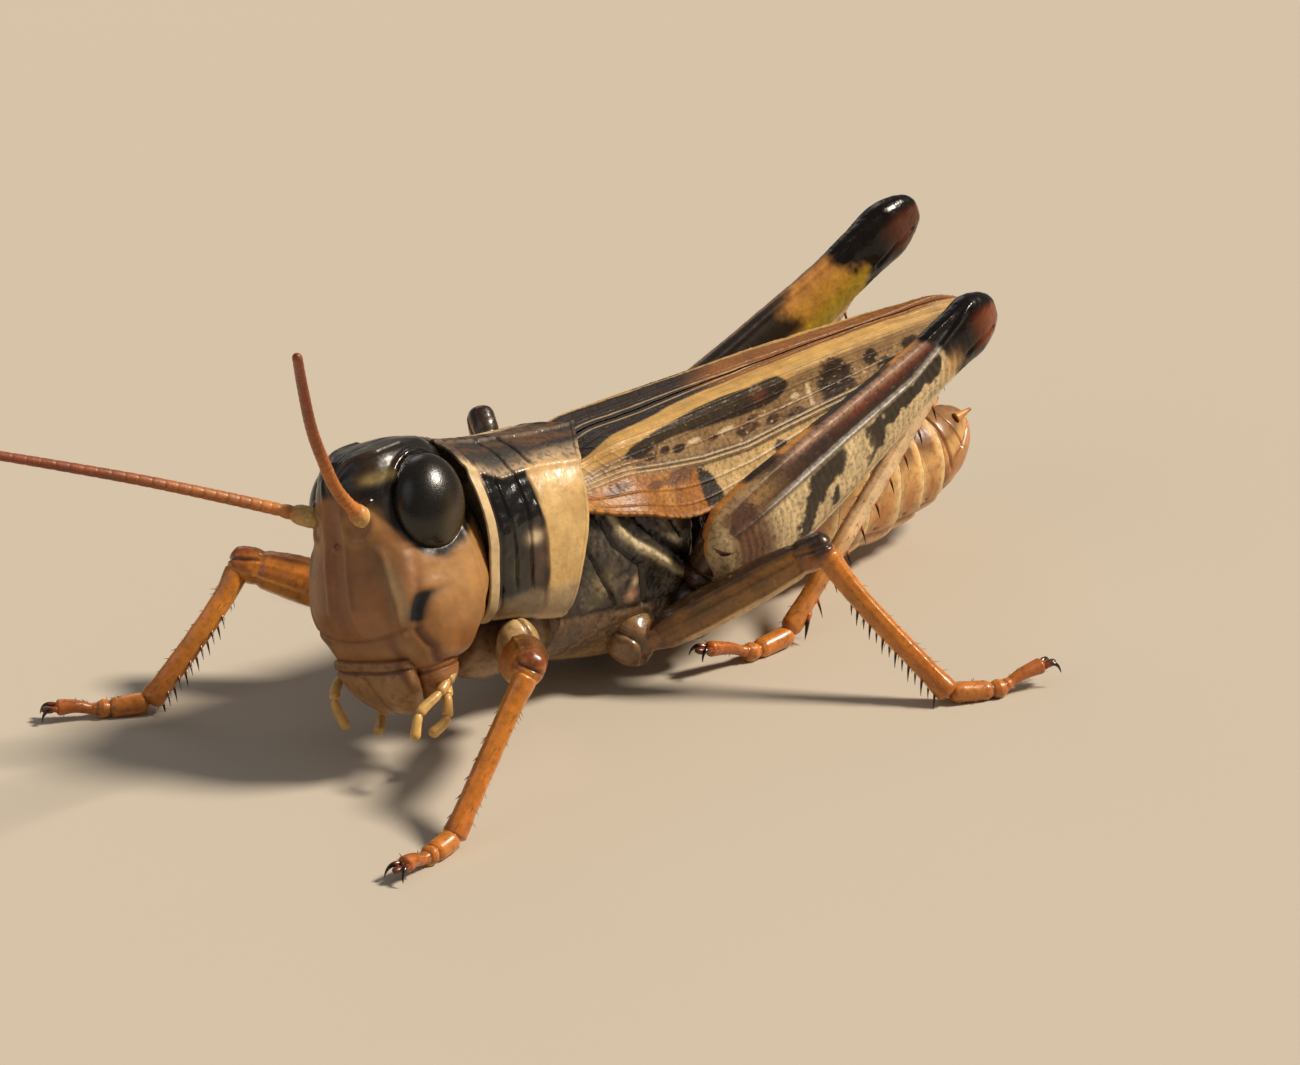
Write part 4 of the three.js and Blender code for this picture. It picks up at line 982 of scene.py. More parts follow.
def wings():
    for letter, side in SIDES:
        face, a, n = wing_face(side, 330, 170)
        y, edge = face[..., 1], a[:, -1:]
        # Long veins, then cross-veins between them.
        radius = np.interp(y, [-1, 0.3, 1.3, 2.6, 4, 8, 12], [0.5, 0.66, 0.82, 1.02, 1.12, 0.95, 0.5])
        veins = [v * np.interp(y, [-1, 9, 13], [1, 0.85, 0.4]) for v in (-0.7, -0.45, -0.2, 0, 0.2, 0.43)]
        veins += [lerp(veins[5], radius, 0.5) + 0.02 * np.sin(1.3 * y), radius, radius + 0.1]
        veins += [lerp(radius + 0.1, edge, 0.42), lerp(radius + 0.1, edge, 0.74)]
        ribs, rib_mask, strip = np.zeros_like(a), np.zeros_like(a), np.zeros(a.shape, np.int64)
        for vein, width, rise in zip(veins, VEIN_WIDTHS, VEIN_HEIGHTS):
            here = bump(a - vein, width)
            ribs += rise * here
            rib_mask = np.maximum(rib_mask, here)
            strip += a > vein
        spacing = CROSS_VEIN_STEPS[strip]
        place = (y + 40 + 0.1 * np.sin(9 * a)) / spacing
        number = np.floor(place).astype(np.int64)
        jitter = 0.5 * scramble(number, strip, 0, 50) - 0.25
        cross = bump((place - number - 0.5 - jitter) * spacing, 0.016)
        height = ribs + 0.02 * cross * (strip > 0) * (1 - 0.6 * ease(a - radius, 0.15, 0.3))
        height += 0.03 * ease(edge - a, 0, 0.02) * bump(a - edge + 0.03, 0.04)
        height += 0.02 * noise(face, 0.6, 51) + 0.006 * noise(face, 0.1, 52)
        height *= (ease(13 - y, 0, 0.5) * 0.8 + 0.2) * 0.75
        tuck = 0.15 * ease(0.5 - y, 0, 1.1)  # the root dips under the shield
        skin = face + n * (height - 0.03 - tuck)[..., None]
        # Paint
        cloud, fine, grain = noise(face, 0.6, 53), noise(face, 0.13, 54), noise(face, 0.05, 55)
        wave = a + 0.03 * noise(face * [1, 0.5, 1], 0.5, 56)
        ochre_at = np.interp(y, [-0.4, 0.93, 2.4, 3.6, 5, 8.8, 10.9],
                             [-0.12, -0.33, -0.56, -0.6, -0.56, -0.5, -0.4])
        if side < 0:
            ochre_at = ochre_at * np.interp(y, [3.5, 9], [0.3, 0.45])
        dorsal = ease(ochre_at - wave, -0.03, 0.03)
        top, foot = (np.interp(y, *zip(*edge_line)) for edge_line in (WEDGE_TOP, WEDGE_FOOT))
        pale_to = np.interp(y, [4, 6, 8, 12], [0.3, 0.12, 0.05, 0])
        stripe = ease(wave - ochre_at, 0, 0.05) * (1 - ease(wave - pale_to, 0, 0.06))
        stripe = stripe * (1 - 0.5 * ease(y, 9, 12))
        lateral = ease(wave - top, 0, 0.05)
        amber_at = np.interp(y, [-1, 1.2, 2.6], [0.5, 0.95, 1.15])
        amber = ease(wave - amber_at, 0, 0.12) * (1 - ease(y, 2.25, 2.5))
        lobe_marks = sum(spot(y, a, mark[:2], mark[2:]) for mark in LOBE_MARKS)
        cells = ease(a - radius, 0.1, 0.2) * ease(y, 2.3, 2.6)
        wedge = ease(wave - top, -0.02, 0.04) * ease(foot - wave, -0.02, 0.05) * band(y, 0.35, 5.7, 0.06)
        paint = coats(
            "#957650",
            "#2b1f17", dorsal,
            "#8f5a2a", dorsal * ease(y - 1.2 * (a + 0.7), 3.2, 4.6) * 0.85,
            "#c39a58", stripe,
            "#d6b67e", stripe * bump(a - 0.03, 0.05) * ease(y, 5, 6) * 0.7,
            "#a5793e", stripe * ease(noise(face * [1, 0.15, 1], 0.12, 57), 0.1, 0.6) * 0.5,
            "#9a5f20", amber,
            "#bb8238", amber * ease(cloud, 0, 0.5) * 0.6,
            "#8f5524", spot(y, a, (0.35, 0.72), (0.65, 0.2)) * 0.85,
            "#4a2a16", ease(lobe_marks + 0.3 * fine + 0.2 * grain, 0.3, 0.75) * 0.75,
            "#c9a871", cells * 0.9,
            "#201814", wedge * (0.95 - 0.4 * ease(grain, 0.5, 1)),
            "#6b3a24", wedge * spot(y, a, (4.75, 0.27), (0.22, 0.14)) * 0.9,
        )
        between = lateral * (1 - amber) * (1 - wedge) * (1 - cells)
        for mark in BLOTCHES:
            # Dark blotches; the largest also carries the hind femur's painted shadow.
            dark = ease(spot(y, wave, mark[:2], mark[2:]) + 0.2 * fine + 0.12 * grain, 0.4, 0.62)
            paint = coats(paint, "#2a1c15", dark * 0.95)
        for mark in PALE_MARKS:
            pale = ease(spot(y, wave, mark[:2], mark[2:]) + 0.15 * fine, 0.35, 0.6)
            paint = coats(paint, "#d9c49c", pale * 0.9)
        black = spot(y - 0.12 * (a - 1.6), a, (2.5, 1.85), (0.2 + 0.08 * a, 0.75)) + 0.15 * grain
        light_vein = bump(a - veins[0] + 0.14, 0.02) * (1 - ease(y, 5, 6))
        light_vein = clamp(light_vein + bump(a - veins[7], 0.03) + bump(a - veins[8], 0.03))
        rim = bump(a - edge + 0.03, 0.06)
        ticks = ease(np.sin(y * 26 + 2 * np.sin(5 * y)), 0.1, 0.7)
        paint = coats(
            paint,
            "#6e4a2c", between * band(y, 0.5, 6.4, 0.3) * ease(grain + fine + cloud, -0.1, 0.8) * 0.75,
            "#dcc7a2", (between + 0.35 * wedge) * ease(fine + 0.8 * grain, 0.5, 0.9) * 0.6,
            "#17100d", ease(black, 0.4, 0.55) * 0.97,
            "#3a2616", rib_mask * 0.2 * (1 - dorsal) + 0.3 * cross * (amber + cells + 0.2),
            "#cdb084", light_vein * (0.9 - 0.4 * ease(y, 8, 12)),
            "#2a1a12", bump(a - veins[7] + 0.045, 0.02) * ease(y, 0.5, 1) * 0.8,
            "#2a1a12", bump(a - veins[7] - 0.05, 0.022) * ease(y, 0.5, 1) * 0.9,
            "#2a1a12", bump(a - veins[8] - 0.07, 0.03) * ease(y, 1.5, 2.5) * 0.8,
            "#b37a3c", rim * 0.8,
            "#3b2213", rim * ticks * 0.7,
        )
        paint = clouded(paint, 0.1 * fine + 0.05 * grain)
        # Under face: the same outline, a thin plate's depth inside.
        under = (face - n * (0.11 + tuck)[..., None])[:, ::-5][:, :-1]
        paint = np.concatenate([paint, np.broadcast_to(colour("#7a5a34"), under.shape)], 1)
        rough = 0.44 + 0.06 * fine - 0.06 * rib_mask
        finish = (rough, 0.5 + 0.3 * dorsal, 0.3 * lateral + 0.2 * dorsal + 0.05)
        finish = (np.pad(value, ((0, 0), (0, under.shape[1])), mode="edge") for value in finish)
        piece = Piece().add(np.concatenate([skin, under], 1), paint, *finish)
        piece.done(f"tegmen_{letter}", [f"fore_wing_{letter}"], "wing", LEATHER)

        # The hind wing lies pleated under it.
        face, past, n = wing_face(side, 190, 60, 1, 12.35)
        pleat = 0.02 * np.cos(past * 2 * math.pi / 0.16)
        upper = (face - n * (0.16 + pleat)[..., None])[:, :-9]
        lower = (face - n * (0.4 - pleat)[..., None])[:, :-9][:, ::-2]
        ring = np.concatenate([upper, lower], 1)
        ring[..., 0] = np.where(side * ring[..., 0] < WING_MIDLINE, side * WING_MIDLINE, ring[..., 0])
        paint = coats("#b7a27c", "#6a5337", 0.5 + 0.5 * noise(ring * [1, 0.2, 1], 0.15, 58))
        Piece().add(ring, paint, 0.4, 0.4, 0.3).done(f"hind_wing_{letter}", [], "wing", LEATHER)


# ---- Legs ----
# Joints of each leg: hip, knee, heel, then where the foot leaves the floor and its tip.
LEGS = {
    "fore_l": [[1.75, -3.3, 1.8], [4.42, -5.44, 3.05], [4.83, -7.92, 0.3], [5.05, -9, 0.2],
               [5.15, -9.6, 0.3]],
    "fore_r": [[-1.75, -3.4, 1.85], [-4.57, -5.66, 2.75], [-4.55, -8.16, 0.3], [-5.2, -9.2, 0.2],
               [-5.65, -9.9, 0.3]],
    "mid_l": [[1.9, 0.15, 1.05], [4.53, 3.1, 3.27], [7.05, 4.3, 0.3], [7.6, 5.4, 0.2], [7.88, 6.5, 0.5]],
    "mid_r": [[-1.95, 0.3, 1.15], [-4.9, 1.75, 4.05], [-6.3, 2.6, 0.3], [-6.65, 4.1, 0.2], [-6.9, 5.1, 0.5]],
    "hind_l": [[2.5, 1.7, 3.05], [1.95, 10.45, 5.74], [2.5, 4.25, 0.45], [2.5, 2.95, 0.2], [2.35, 1.7, 0.6]],
    "hind_r": [[-2.5, 2, 2.2], [-1.85, 11.75, 6.76], [-2.6, 6.35, 0.45], [-2.65, 4.8, 0.2], [-2.6, 3.5, 0.5]],
}
# Hip joints: middle, half sizes, two colours of the joint and one of the ring beyond it.
COXAE = {
    "fore": ([1.62, -3.2, 1.95], [0.42, 0.5, 0.62], "#cdb07c", "#b08a58", "#cfa468"),
    "mid": ([1.62, 0.15, 1.1], [0.55, 0.6, 0.62], "#6a4a2a", "#a88458", "#8a5c30"),
    "hind": ([1.75, 1.85, 1.4], [0.62, 0.68, 0.78], "#33211a", "#4e3424", "#4a2c1a"),
}
# Profiles: [share of the length, half width across, half height in the leg's plane, sag of the middle].
THIGH = {
    "fore": [[0.08, 0.3, 0.36, 0], [0.35, 0.44, 0.54, 0], [0.65, 0.42, 0.5, 0], [0.9, 0.32, 0.38, 0],
             [1.05, 0.26, 0.3, 0]],
    "mid": [[0.04, 0.3, 0.36, 0], [0.35, 0.38, 0.47, 0], [0.65, 0.38, 0.45, 0], [0.9, 0.3, 0.37, 0],
            [1.04, 0.26, 0.3, 0]],
    "hind": [
        [-0.02, 0.28, 0.62, 0.2], [0.05, 0.46, 0.96, 0.31], [0.2, 0.52, 1.12, 0.43], [0.42, 0.46, 1.04, 0.4],
        [0.65, 0.36, 0.85, 0.27], [0.83, 0.33, 0.7, 0.13], [0.92, 0.36, 0.71, 0.05], [1, 0.4, 0.76, 0],
        [1.06, 0.32, 0.58, 0], [1.1, 0.18, 0.3, 0],
    ],
}
# Spines to a row, and the share of the shin's length where a row begins and ends.
SPINES = {"fore": (6, 0.36, 0.93), "mid": (7, 0.34, 0.93), "hind": (9, 0.25, 0.9)}
# The middle ridge: share of the length, height.
MID_RIDGE = [
    (0, -0.45), (0.12, -0.5), (0.22, -0.53), (0.35, -0.54), (0.48, -0.53), (0.64, -0.47), (0.75, -0.43),
    (0.86, -0.6), (1, -0.85),
]
# Dark marks of the outer face: share of the length, share from middle to lower ridge, half sizes.
THIGH_MARKS = [
    (0.3, 0.75, 0.035, 0.3), (0.355, 0.3, 0.05, 0.3), (0.43, 0.2, 0.05, 0.2), (0.42, 0.75, 0.02, 0.2),
    (0.575, 0.45, 0.035, 0.42), (0.66, 0.22, 0.05, 0.22), (0.75, 0.25, 0.05, 0.22), (0.83, 0.3, 0.03, 0.3),
]


def thigh(pair, hip, knee, count, ends, around, lateral, square):
    """The surface, then its share of the length, height, half height and angle round the leg."""
    profile = np.array(THIGH[pair])
    s, wide, high, sag = profile.T
    rows = np.stack([*(hip + np.outer(s, knee - hip) - np.outer(sag, Z)).T, wide, high], 1)
    t, size = stations(count, *ends)
    p = tube(rows, t, size, around, lateral, square)
    s, tall = spline(profile[:, [0, 0]], t)[:, :1], spline(profile[:, 1:3], t)[:, 1:] * size[:, None]
    angle = circle(around)
    return p, s, power(np.sin(angle), 2 / square), tall, angle


def hind_thigh(side, hip, knee):
    # h is -1 along the top edge and 1 along the lower.
    p, s, h, tall, angle = thigh("hind", hip, knee, 260, (0.06, 0.05), 230, X, 2.2)
    outer = ease(side * np.cos(angle), -0.05, 0.12)
    inner = 1 - outer
    upper_at = np.interp(s, [0, 0.14, 0.3], [-0.9, -0.93, -0.95])
    mid_at = np.interp(s, *zip(*MID_RIDGE))
    low_at = np.interp(s, [0, 0.2, 0.8, 0.92], [0.84, 0.9, 0.9, 0.86])
    shank = band(s, 0.03, 0.93, 0.04)
    upper = bump((h - upper_at) * tall, 0.055) * shank
    middle = bump((h - mid_at) * tall, 0.048) * band(s, 0.06, 0.98, 0.05)
    lower = bump((h - low_at) * tall, 0.06) * shank
    between = clamp((h - mid_at) / (low_at - mid_at))
    field = band(between, 0.06, 0.94, 0.05) * shank
    ribs = 0.5 + 0.5 * np.cos(2 * math.pi * (s * 46 + 0.7 * np.abs(between - 0.4)))
    top_field = band(clamp((h - upper_at) / (mid_at - upper_at)), 0.06, 0.94, 0.06) * shank
    height = 0.03 * upper + 0.055 * middle + 0.04 * lower + 0.014 * (ribs - 0.5) * field - 0.03 * top_field
    height *= outer
    height += inner * (0.04 * upper + 0.04 * lower)
    height += 0.03 * bump((h + 1) * tall, 0.06) * shank
    # The knee: a crescent swelling parted from the lower side lobe.
    cap = ease(s, 0.9, 0.95)
    notch = line(s * 10, h * tall, [(9.3, 0.3), (9.9, 0.2), (10.5, 0.22)], 0.05) * cap
    height += 0.03 * cap * np.abs(np.cos(angle)) * (1 - ease(s, 1.02, 1.08)) - 0.06 * notch
    height += 0.012 * noise(p, 0.3, 61) + 0.006 * noise(p, 0.09, 62)
    made = raised(p, height)
    # Paint, outer face: brown above the middle ridge, pale with black blotches below it.
    cloud, fine, grain = noise(p, 0.6, 63), noise(p, 0.14, 64), noise(p, 0.06, 65)
    along = s + 0.012 * fine + 0.02 * cloud
    dorsal = ease(upper_at - h, -0.03, 0.05)
    maroon = ease(spot(along, h, (0.085, -0.6), (0.06, 0.34)) + 0.2 * grain, 0.38, 0.58)
    spots = 0.4 * noise(p * [1, 1.4, 0.8], 0.3, 66) + 0.25 * fine
    dark = sum(spot(along + 0.02 * between, between, mark[:2], mark[2:]) for mark in THIGH_MARKS)
    dark = ease(dark + spots, 0.36, 0.56) - 1.2 * spot(along, between, (0.5, 0.66), (0.035, 0.34))
    paint = coats(
        "#402816",
        "#a27c4c", spot(along, h, (0.13, -0.8), (0.1, 0.2)) * 0.8,
        "#33201a", top_field * ease(along, 0.24, 0.4) * (0.55 + 0.35 * ease(cloud, -0.3, 0.4)),
        "#6a2c0e", bump((h + 0.84) * tall, 0.075) * ease(along, 0.42, 0.56) * outer * 0.9,
        # The black top towards the knee is partly the femur's own dark top and partly painted shadow,
        # standing in for the femur's cast shadow on the wing beside it.
        "#1d130e", dorsal * ease(along, 0.3, 0.7) * 0.9,
        "#c0a57a", ease(0.05 - s - 0.05 * h**2, -0.03, 0.02) * 0.95,
        "#bd9d6c", ease(0.24 - s, 0, 0.16) * ease(-h, 0.88, 0.98),
        "#24100c", maroon * 0.97,
        "#b59a80", ease(grain + 0.5 * fine, 0.45, 0.8) * (0.25 + 0.3 * maroon),
        "#d0b78b", field * ease(along, 0.1, 0.2),
        "#8a7556", field * ease(0.4 - ribs, 0, 0.4) * 0.45,
        "#63422e", clamp(1.5 * spot(along, between, (0.07, 0.5), (0.09, 0.6))) * shank * 0.85,
        "#16100d", field * clamp(dark) * 0.95,
        "#d9c39c", clamp(1.3 * lower) * 0.9,
        # Pale silver on the middle ridge: partly its own pale colour, partly a painted highlight of the
        # ridge's sparkle.
        "#cfc6b8", middle * ease(along, 0.12, 0.3) * (0.65 + 0.3 * ease(fine + grain, -0.2, 0.5)),
        "#b08a72", upper * band(along, 0.3, 0.86, 0.05) * 0.85,
        "#cfa468", ease(h - low_at, 0.02, 0.1) * shank * 0.85,
    )
    # Inner face: yellow-orange with two black bands.
    bars = band(along - 0.04 * h, 0.2, 0.34, 0.02) + band(along - 0.05 * h, 0.47, 0.72, 0.02)
    back = coats(
        "#c08a35",
        "#b99a20", ease(h, -0.3, 0.4) * 0.85,
        "#b3743a", ease(-h, 0.45, 0.9) * 0.7,
        "#17100e", bars * (1 - 0.85 * ease(h, -0.25, 0.3)) * 0.97,
    )
    paint = coats(paint, clouded(back, 0.1 * fine), inner)
    edge_bars = ease(-h, 0.85, 0.98) * (band(along, 0.18, 0.3, 0.02) + band(along, 0.46, 0.72, 0.02))
    knee_at = 0.885 + 0.05 * np.clip(h, -1, 0.2) + 0.03 * noise(p, 0.5, 67)
    black = ease(along, knee_at - 0.015, knee_at + 0.015)
    rear = black * ease(s, 0.95, 1.02) * ease(h, -0.75, -0.35) * (1 - ease(h, 0.45, 0.7))
    paint = coats(
        paint,
        "#211711", edge_bars * inner * 0.9,
        "#120c0a", black,
        "#6e3417", rear * (0.5 + 0.5 * outer),
        "#c99a62", outer * spot(along, h, (0.885, 0.3), (0.03, 0.35)) * 0.9,
    )
    paint = clouded(paint, 0.08 * fine)
    rough = 0.54 + 0.24 * top_field * outer - 0.28 * middle * outer - 0.3 * black + 0.05 * grain
    rough = np.clip(rough, 0.2, 0.8)
    return Piece().add(made, paint, rough, 0.45 - 0.25 * black, 0.4 * (1 - black) * (0.4 + 0.6 * outer))


def short_thigh(pair, hip, knee, lateral):
    # h is 1 along the back of the leg and -1 below.
    p, s, h, tall, _ = thigh(pair, hip, knee, 150, (0.06, 0.07), 96, lateral, 2.3)
    keels = bump((h - 0.62) * tall, 0.035) + bump((h + 0.68) * tall, 0.035)
    keels = (keels + bump((h - 0.05) * tall, 0.03) * 0.6) * band(s, 0.1, 0.9, 0.05)
    cap = ease(s, 0.84, 0.9)
    notch = line(s * 3.5, h * tall, [(3, 0.12), (3.35, 0.02), (3.8, -0.02)], 0.04) * cap
    height = 0.03 * keels - 0.05 * notch + 0.035 * ease(s, 0.86, 0.93) * (1 - ease(s, 0.98, 1.03))
    height -= 0.03 * bump(s - 0.86, 0.02) + 0.04 * bump(s - 0.1, 0.025)
    height += 0.012 * noise(p, 0.25, 71) + 0.006 * noise(p, 0.08, 72)
    cloud, fine = noise(p, 0.5, 73), noise(p, 0.12, 74)
    if pair == "mid":
        paint = coats(
            "#8a6432",
            "#5d4a2a", ease(cloud, 0, 0.6) * 0.6,
            "#2b1c11", ease(h + 0.15 * cloud, 0.42, 0.7) * 0.9,
            "#3a2615", bump(h - 0.08, 0.1) * ease(s, 0.2, 0.35) * 0.55,
            "#cdb489", ease(-h, 0.6, 0.72) * band(s, 0.22, 0.97, 0.06) * 0.95,
            "#94682f", ease(-h, 0.1, 0.5) * ease(0.62 + h, 0, 0.1) * 0.7,
            "#a8642c", ease(s, 0.8, 0.92) * (1 - ease(h, 0.2, 0.6)) * 0.8,
        )
    else:
        paint = coats(
            "#c07a30",
            "#5a3418", ease(h + 0.2 * cloud, 0.3, 0.75) * 0.85,
            "#d69a48", ease(-h, 0.3, 0.9) * 0.7,
            "#d9a24a", ease(0.3 - s, 0, 0.2) * 0.8,
        )
    lobes = ease(s, 0.9, 0.96) * ease(h, -0.7, -0.2)
    paint = coats(
        paint,
        "#2a1710" if pair == "mid" else "#8a4520", lobes * (0.9 if pair == "mid" else 0.6),
        "#3a1d0e", notch * 0.8 + bump(s - 0.1, 0.03) * 0.6,
        "#d9c39a", ease(fine, 0.55, 0.8) * 0.25,
    )
    paint = clouded(paint, 0.08 * fine + 0.05 * cloud)
    return Piece().add(raised(p, height), paint * WARM_LEG, 0.34 + 0.05 * fine, 0.35, 0.25)


def thorn(piece, root, direction, length, radius, curl):
    """A spine: a collar at its root, a slim cone and a dark point that bends a little towards curl."""
    s = steps(13)
    path = root + unit(direction) * length * s[:, None] + curl * length * (s**2)[:, None]
    wide = radius * (1 - s**1.3) * (1 + 0.6 * bump(s, 0.12)) + 0.004
    p = pipe(path, wide, wide, 10, X if abs(unit(direction)[0]) < 0.8 else Y)
    piece.add(p, coats("#c06020", "#0f0a08", ease(s, 0.12, 0.4)[:, None]), 0.3, 0.1, 0)


HAIRS = []  # root, direction, length and place on its surface of each hair


def hairs_on(p, where, count, length, lean):
    """Notes short bristles at random points of a surface where it says so. They lean towards lean."""
    rings, around = p.shape[:2]
    n, where = normals(p), np.broadcast_to(where, (rings, around))
    rows, cols = RANDOM.integers(1, rings - 1, count * 6), RANDOM.integers(0, around, count * 6)
    keep = [i for i in range(len(rows)) if where[rows[i], cols[i]]][:count]
    for i in keep:
        row, col = rows[i], cols[i]
        tilt = unit(n[row, col] * RANDOM.uniform(0.6, 1.1) + lean * RANDOM.uniform(0.5, 1)
                    + RANDOM.normal(0, 0.15, 3))
        HAIRS.append((p[row, col], tilt, length * RANDOM.uniform(0.6, 1.25), row / rings, col / around))


def shin(pair, knee, heel, lateral, belly):
    """Tibia with its spines. belly points away from the side that carries them."""
    along = unit(heel - knee)
    t = steps(200)
    share = lerp(0.02, 1.03, t)
    path = knee + (heel - knee) * share[:, None]
    if pair == "hind":
        swing = 0.03 * np.sin(np.pi * clamp(share))
        radius = 0.185 + 0.07 * bump(share - 0.05, 0.06) + 0.05 * ease(share, 0.88, 0.99)
    else:
        swing = 0.16 * np.sin(np.pi * clamp(share) ** 0.55)
        radius = 0.225 + 0.03 * bump(share - 0.08, 0.08) + 0.03 * ease(share, 0.85, 0.98)
    bow = -belly * swing[:, None]
    radius = radius * rounded(t, 0.03, 0.03)
    p = pipe(path + bow, radius, radius * 1.04, 56, lateral)
    angle = circle(56)

    def round_from(a):
        return np.angle(np.exp(1j * (angle - a)))

    ridge = sum(bump(round_from(a), 0.2) for a in (0.8, 2.35, 3.9, 5.5))
    height = 0.02 * ridge * band(share[:, None], 0.12, 0.93, 0.05) + 0.01 * noise(p, 0.2, 81)
    made = raised(p, height)
    s = share[:, None]
    fine, cloud = noise(p, 0.12, 82), noise(p, 0.5, 83)
    if pair == "hind":
        paint = coats(
            "#c99a63",
            "#c07c3a", ease(s, 0.68, 0.92),
            "#dfc4a2", band(s, 0.12, 0.72, 0.09) * 0.85,
            "#2b1710", ease(0.12 - s, 0, 0.03) * 0.9,
        )
    else:
        paint = coats(
            "#cb8434",
            "#b46a26", ease(s, 0.4, 1) * 0.7,
            "#dca050", bump(round_from(4.7), 0.9) * 0.6,
        )
    paint = coats(paint, "#8a4418", ease(fine, 0.5, 0.8) * 0.25)
    paint = clouded(paint, 0.08 * fine + 0.06 * cloud) * lerp(WARM_LEG, 1, 0.6 * (pair == "hind"))
    piece = Piece().add(made, paint, 0.3 + 0.05 * fine, 0.3, 0.2)
    count, first, last = SPINES[pair]
    sideways = unit(np.cross(along, belly))
    for row in (1, -1):
        for i in range(count):
            at = lerp(first, last, (i + 0.25 * row * (pair != "hind")) / (count - 1))
            out = unit(-belly + sideways * row * (0.75 if pair == "hind" else 0.55))
            root = knee + (heel - knee) * at + out * 0.18 + bow[min(int(at * 200), 199)]
            thorn(piece, root, out + along * 0.75, 0.36 + 0.06 * i / count, 0.033, along * 0.12)
    if pair == "hind":
        # Two pairs of spurs round the heel.
        for row, size in ((1, 0.5), (0.45, 0.6), (-0.45, 0.6), (-1, 0.5)):
            out = unit(-belly * 0.5 + sideways * row)
            root = knee + (heel - knee) * 0.955 + out * 0.19
            thorn(piece, root, along + out * 0.55, size, 0.06, -out * 0.1)
    hairs_on(made, s > 0.15, 45 if pair != "hind" else 70, 0.13, along)
    return piece


# Half width of a foot along its length: three joints, each with its own swelling.
FOOT_GIRTH = [
    (0, 0.2), (0.12, 0.225), (0.36, 0.215), (0.42, 0.17), (0.49, 0.205), (0.56, 0.15), (0.62, 0.115),
    (0.84, 0.15), (0.95, 0.175), (1, 0.14),
]


def foot(pair, heel, ball, tip):
    anchors = [
        [*lerp(heel, ball, 0.03)[:2], 0.26], [*lerp(heel, ball, 0.55)[:2], 0.2], ball,
        lerp(ball, tip, 0.5) + [0, 0, 0.05], tip,
    ]
    t = steps(150)
    widths = [[0.2, 0.24], [0.25, 0.24], [0.235, 0.215], [0.16, 0.15], [0.19, 0.17]]
    path = spline(np.hstack([anchors, widths]), t)[:, :3]
    share = arc(path)
    share = share / share[-1]
    cut = bump(share - 0.42, 0.016) + bump(share - 0.56, 0.016)
    girth = np.interp(share, *zip(*FOOT_GIRTH)) * (1 - 0.08 * cut) * rounded(t, 0.06, 0.05)
    p = above_floor(pipe(path, girth * 1.05, girth, 48, square=2.1))
    s = share[:, None]
    under = ease(0.12 - p[..., 2], 0, 0.1)
    fine = noise(p, 0.12, 91)
    paint = coats(
        "#c67f38",
        "#a65c26", ease(s, 0.4, 0.75) * 0.7,
        "#d9a25c" if pair == "hind" else "#c8843f", under * 0.7,
        "#6e3010", cut[:, None] * 0.6,
    )
    paint = clouded(paint, 0.1 * fine)
    piece = Piece().add(p, paint * WARM_LEG, 0.34 + 0.05 * fine, 0.4, 0.25)
    # Soft round soles: three under the long first joint, one under the second.
    for at in (0.1, 0.23, 0.36, 0.5):
        x, y, z = read(path, share, [at])[0]
        sole = ellipsoid([x, y, max(z - 0.16, 0.07)], (0.15, 0.15, 0.1), 16, 24)
        piece.add(above_floor(sole), colour("#cf9a55"), 0.4, 0.2, 0.1)
    along = unit(tip - ball)
    sideways = unit(np.cross(along, Z))
    up = unit(np.cross(sideways, along))
    # The pad between the claws, then the two claws.
    turn = np.stack([sideways, along, up], 1)
    pad = ellipsoid(tip + along * 0.14 - up * 0.05, (0.1, 0.16, 0.08), 16, 24, turn)
    piece.add(above_floor(pad), colour("#5a2a12"), 0.4, 0.3, 0.2)
    for row in (1, -1):
        root = tip + sideways * row * 0.1 - along * 0.06
        s = steps(18)
        path = root + along * (0.36 * np.sin(s * 1.5))[:, None] + sideways * row * (0.14 * s)[:, None]
        path = path - Z * (0.25 * s**2)[:, None] + up * (0.05 * np.sin(s * 3.1))[:, None]
        path[:, 2] = np.maximum(path[:, 2], 0.05)
        girth = 0.065 * (1 - s) ** 0.75 + 0.006
        claw = above_floor(pipe(path, girth, girth, 14))
        piece.add(claw, coats("#8a3b14", "#0d0807", ease(s, 0.1, 0.45)[:, None]), 0.2, 0.1, 0)
    hairs_on(p, p[..., 2] > 0.1, 30, 0.09, along)
    return piece


def hip_joint(pair, side, hip, knee, lateral):
    centre, radii, base, patch, ring_tone = COXAE[pair]
    centre = np.array(centre) * [side, 1, 1]
    p = ellipsoid(centre, radii, 70, 90)
    _, y, z = axes(p)
    groove = y - centre[1] - 0.05
    if pair == "mid":
        folds = line(y, z, [(-0.35, 1.5), (0, 1.15), (0.1, 0.7)], 0.07)
        folds += line(y, z, [(0.55, 1.5), (0.4, 1.1), (0.5, 0.7)], 0.07)
        height = 0.06 * noise(p, 0.4, 95) - 0.1 * folds
    else:
        height = 0.03 * noise(p, 0.3, 95) - 0.05 * bump(groove, 0.05) * ease(z, centre[2] - 0.4, centre[2])
    paint = coats(base, patch, 0.4 + 0.6 * noise(p, 0.3, 96), "#2a170e", bump(groove, 0.06) * 0.6)
    piece = Piece().add(raised(p, height), paint, 0.3, 0.4, 0.3)
    # The small ring between hip joint and thigh.
    reach, wide, across = (0.03, 0.42, Y) if pair == "hind" else (0.12, 0.3, lateral)
    s = steps(40)
    root = lerp(centre, hip, 0.35)
    girth = wide * (1 - 0.18 * bump(s - 0.35, 0.06)) * rounded(s, 0.15, 0)
    ring = pipe(root + (lerp(hip, knee, reach) - root) * s[:, None], girth, girth * 1.1, 40, across)
    tone = coats(ring_tone, "#3a2012", bump(s - 0.35, 0.07)[:, None] * 0.7)
    return piece.add(ring, clouded(tone, 0.12 * noise(ring, 0.2, 97)), 0.3, 0.3, 0.2)


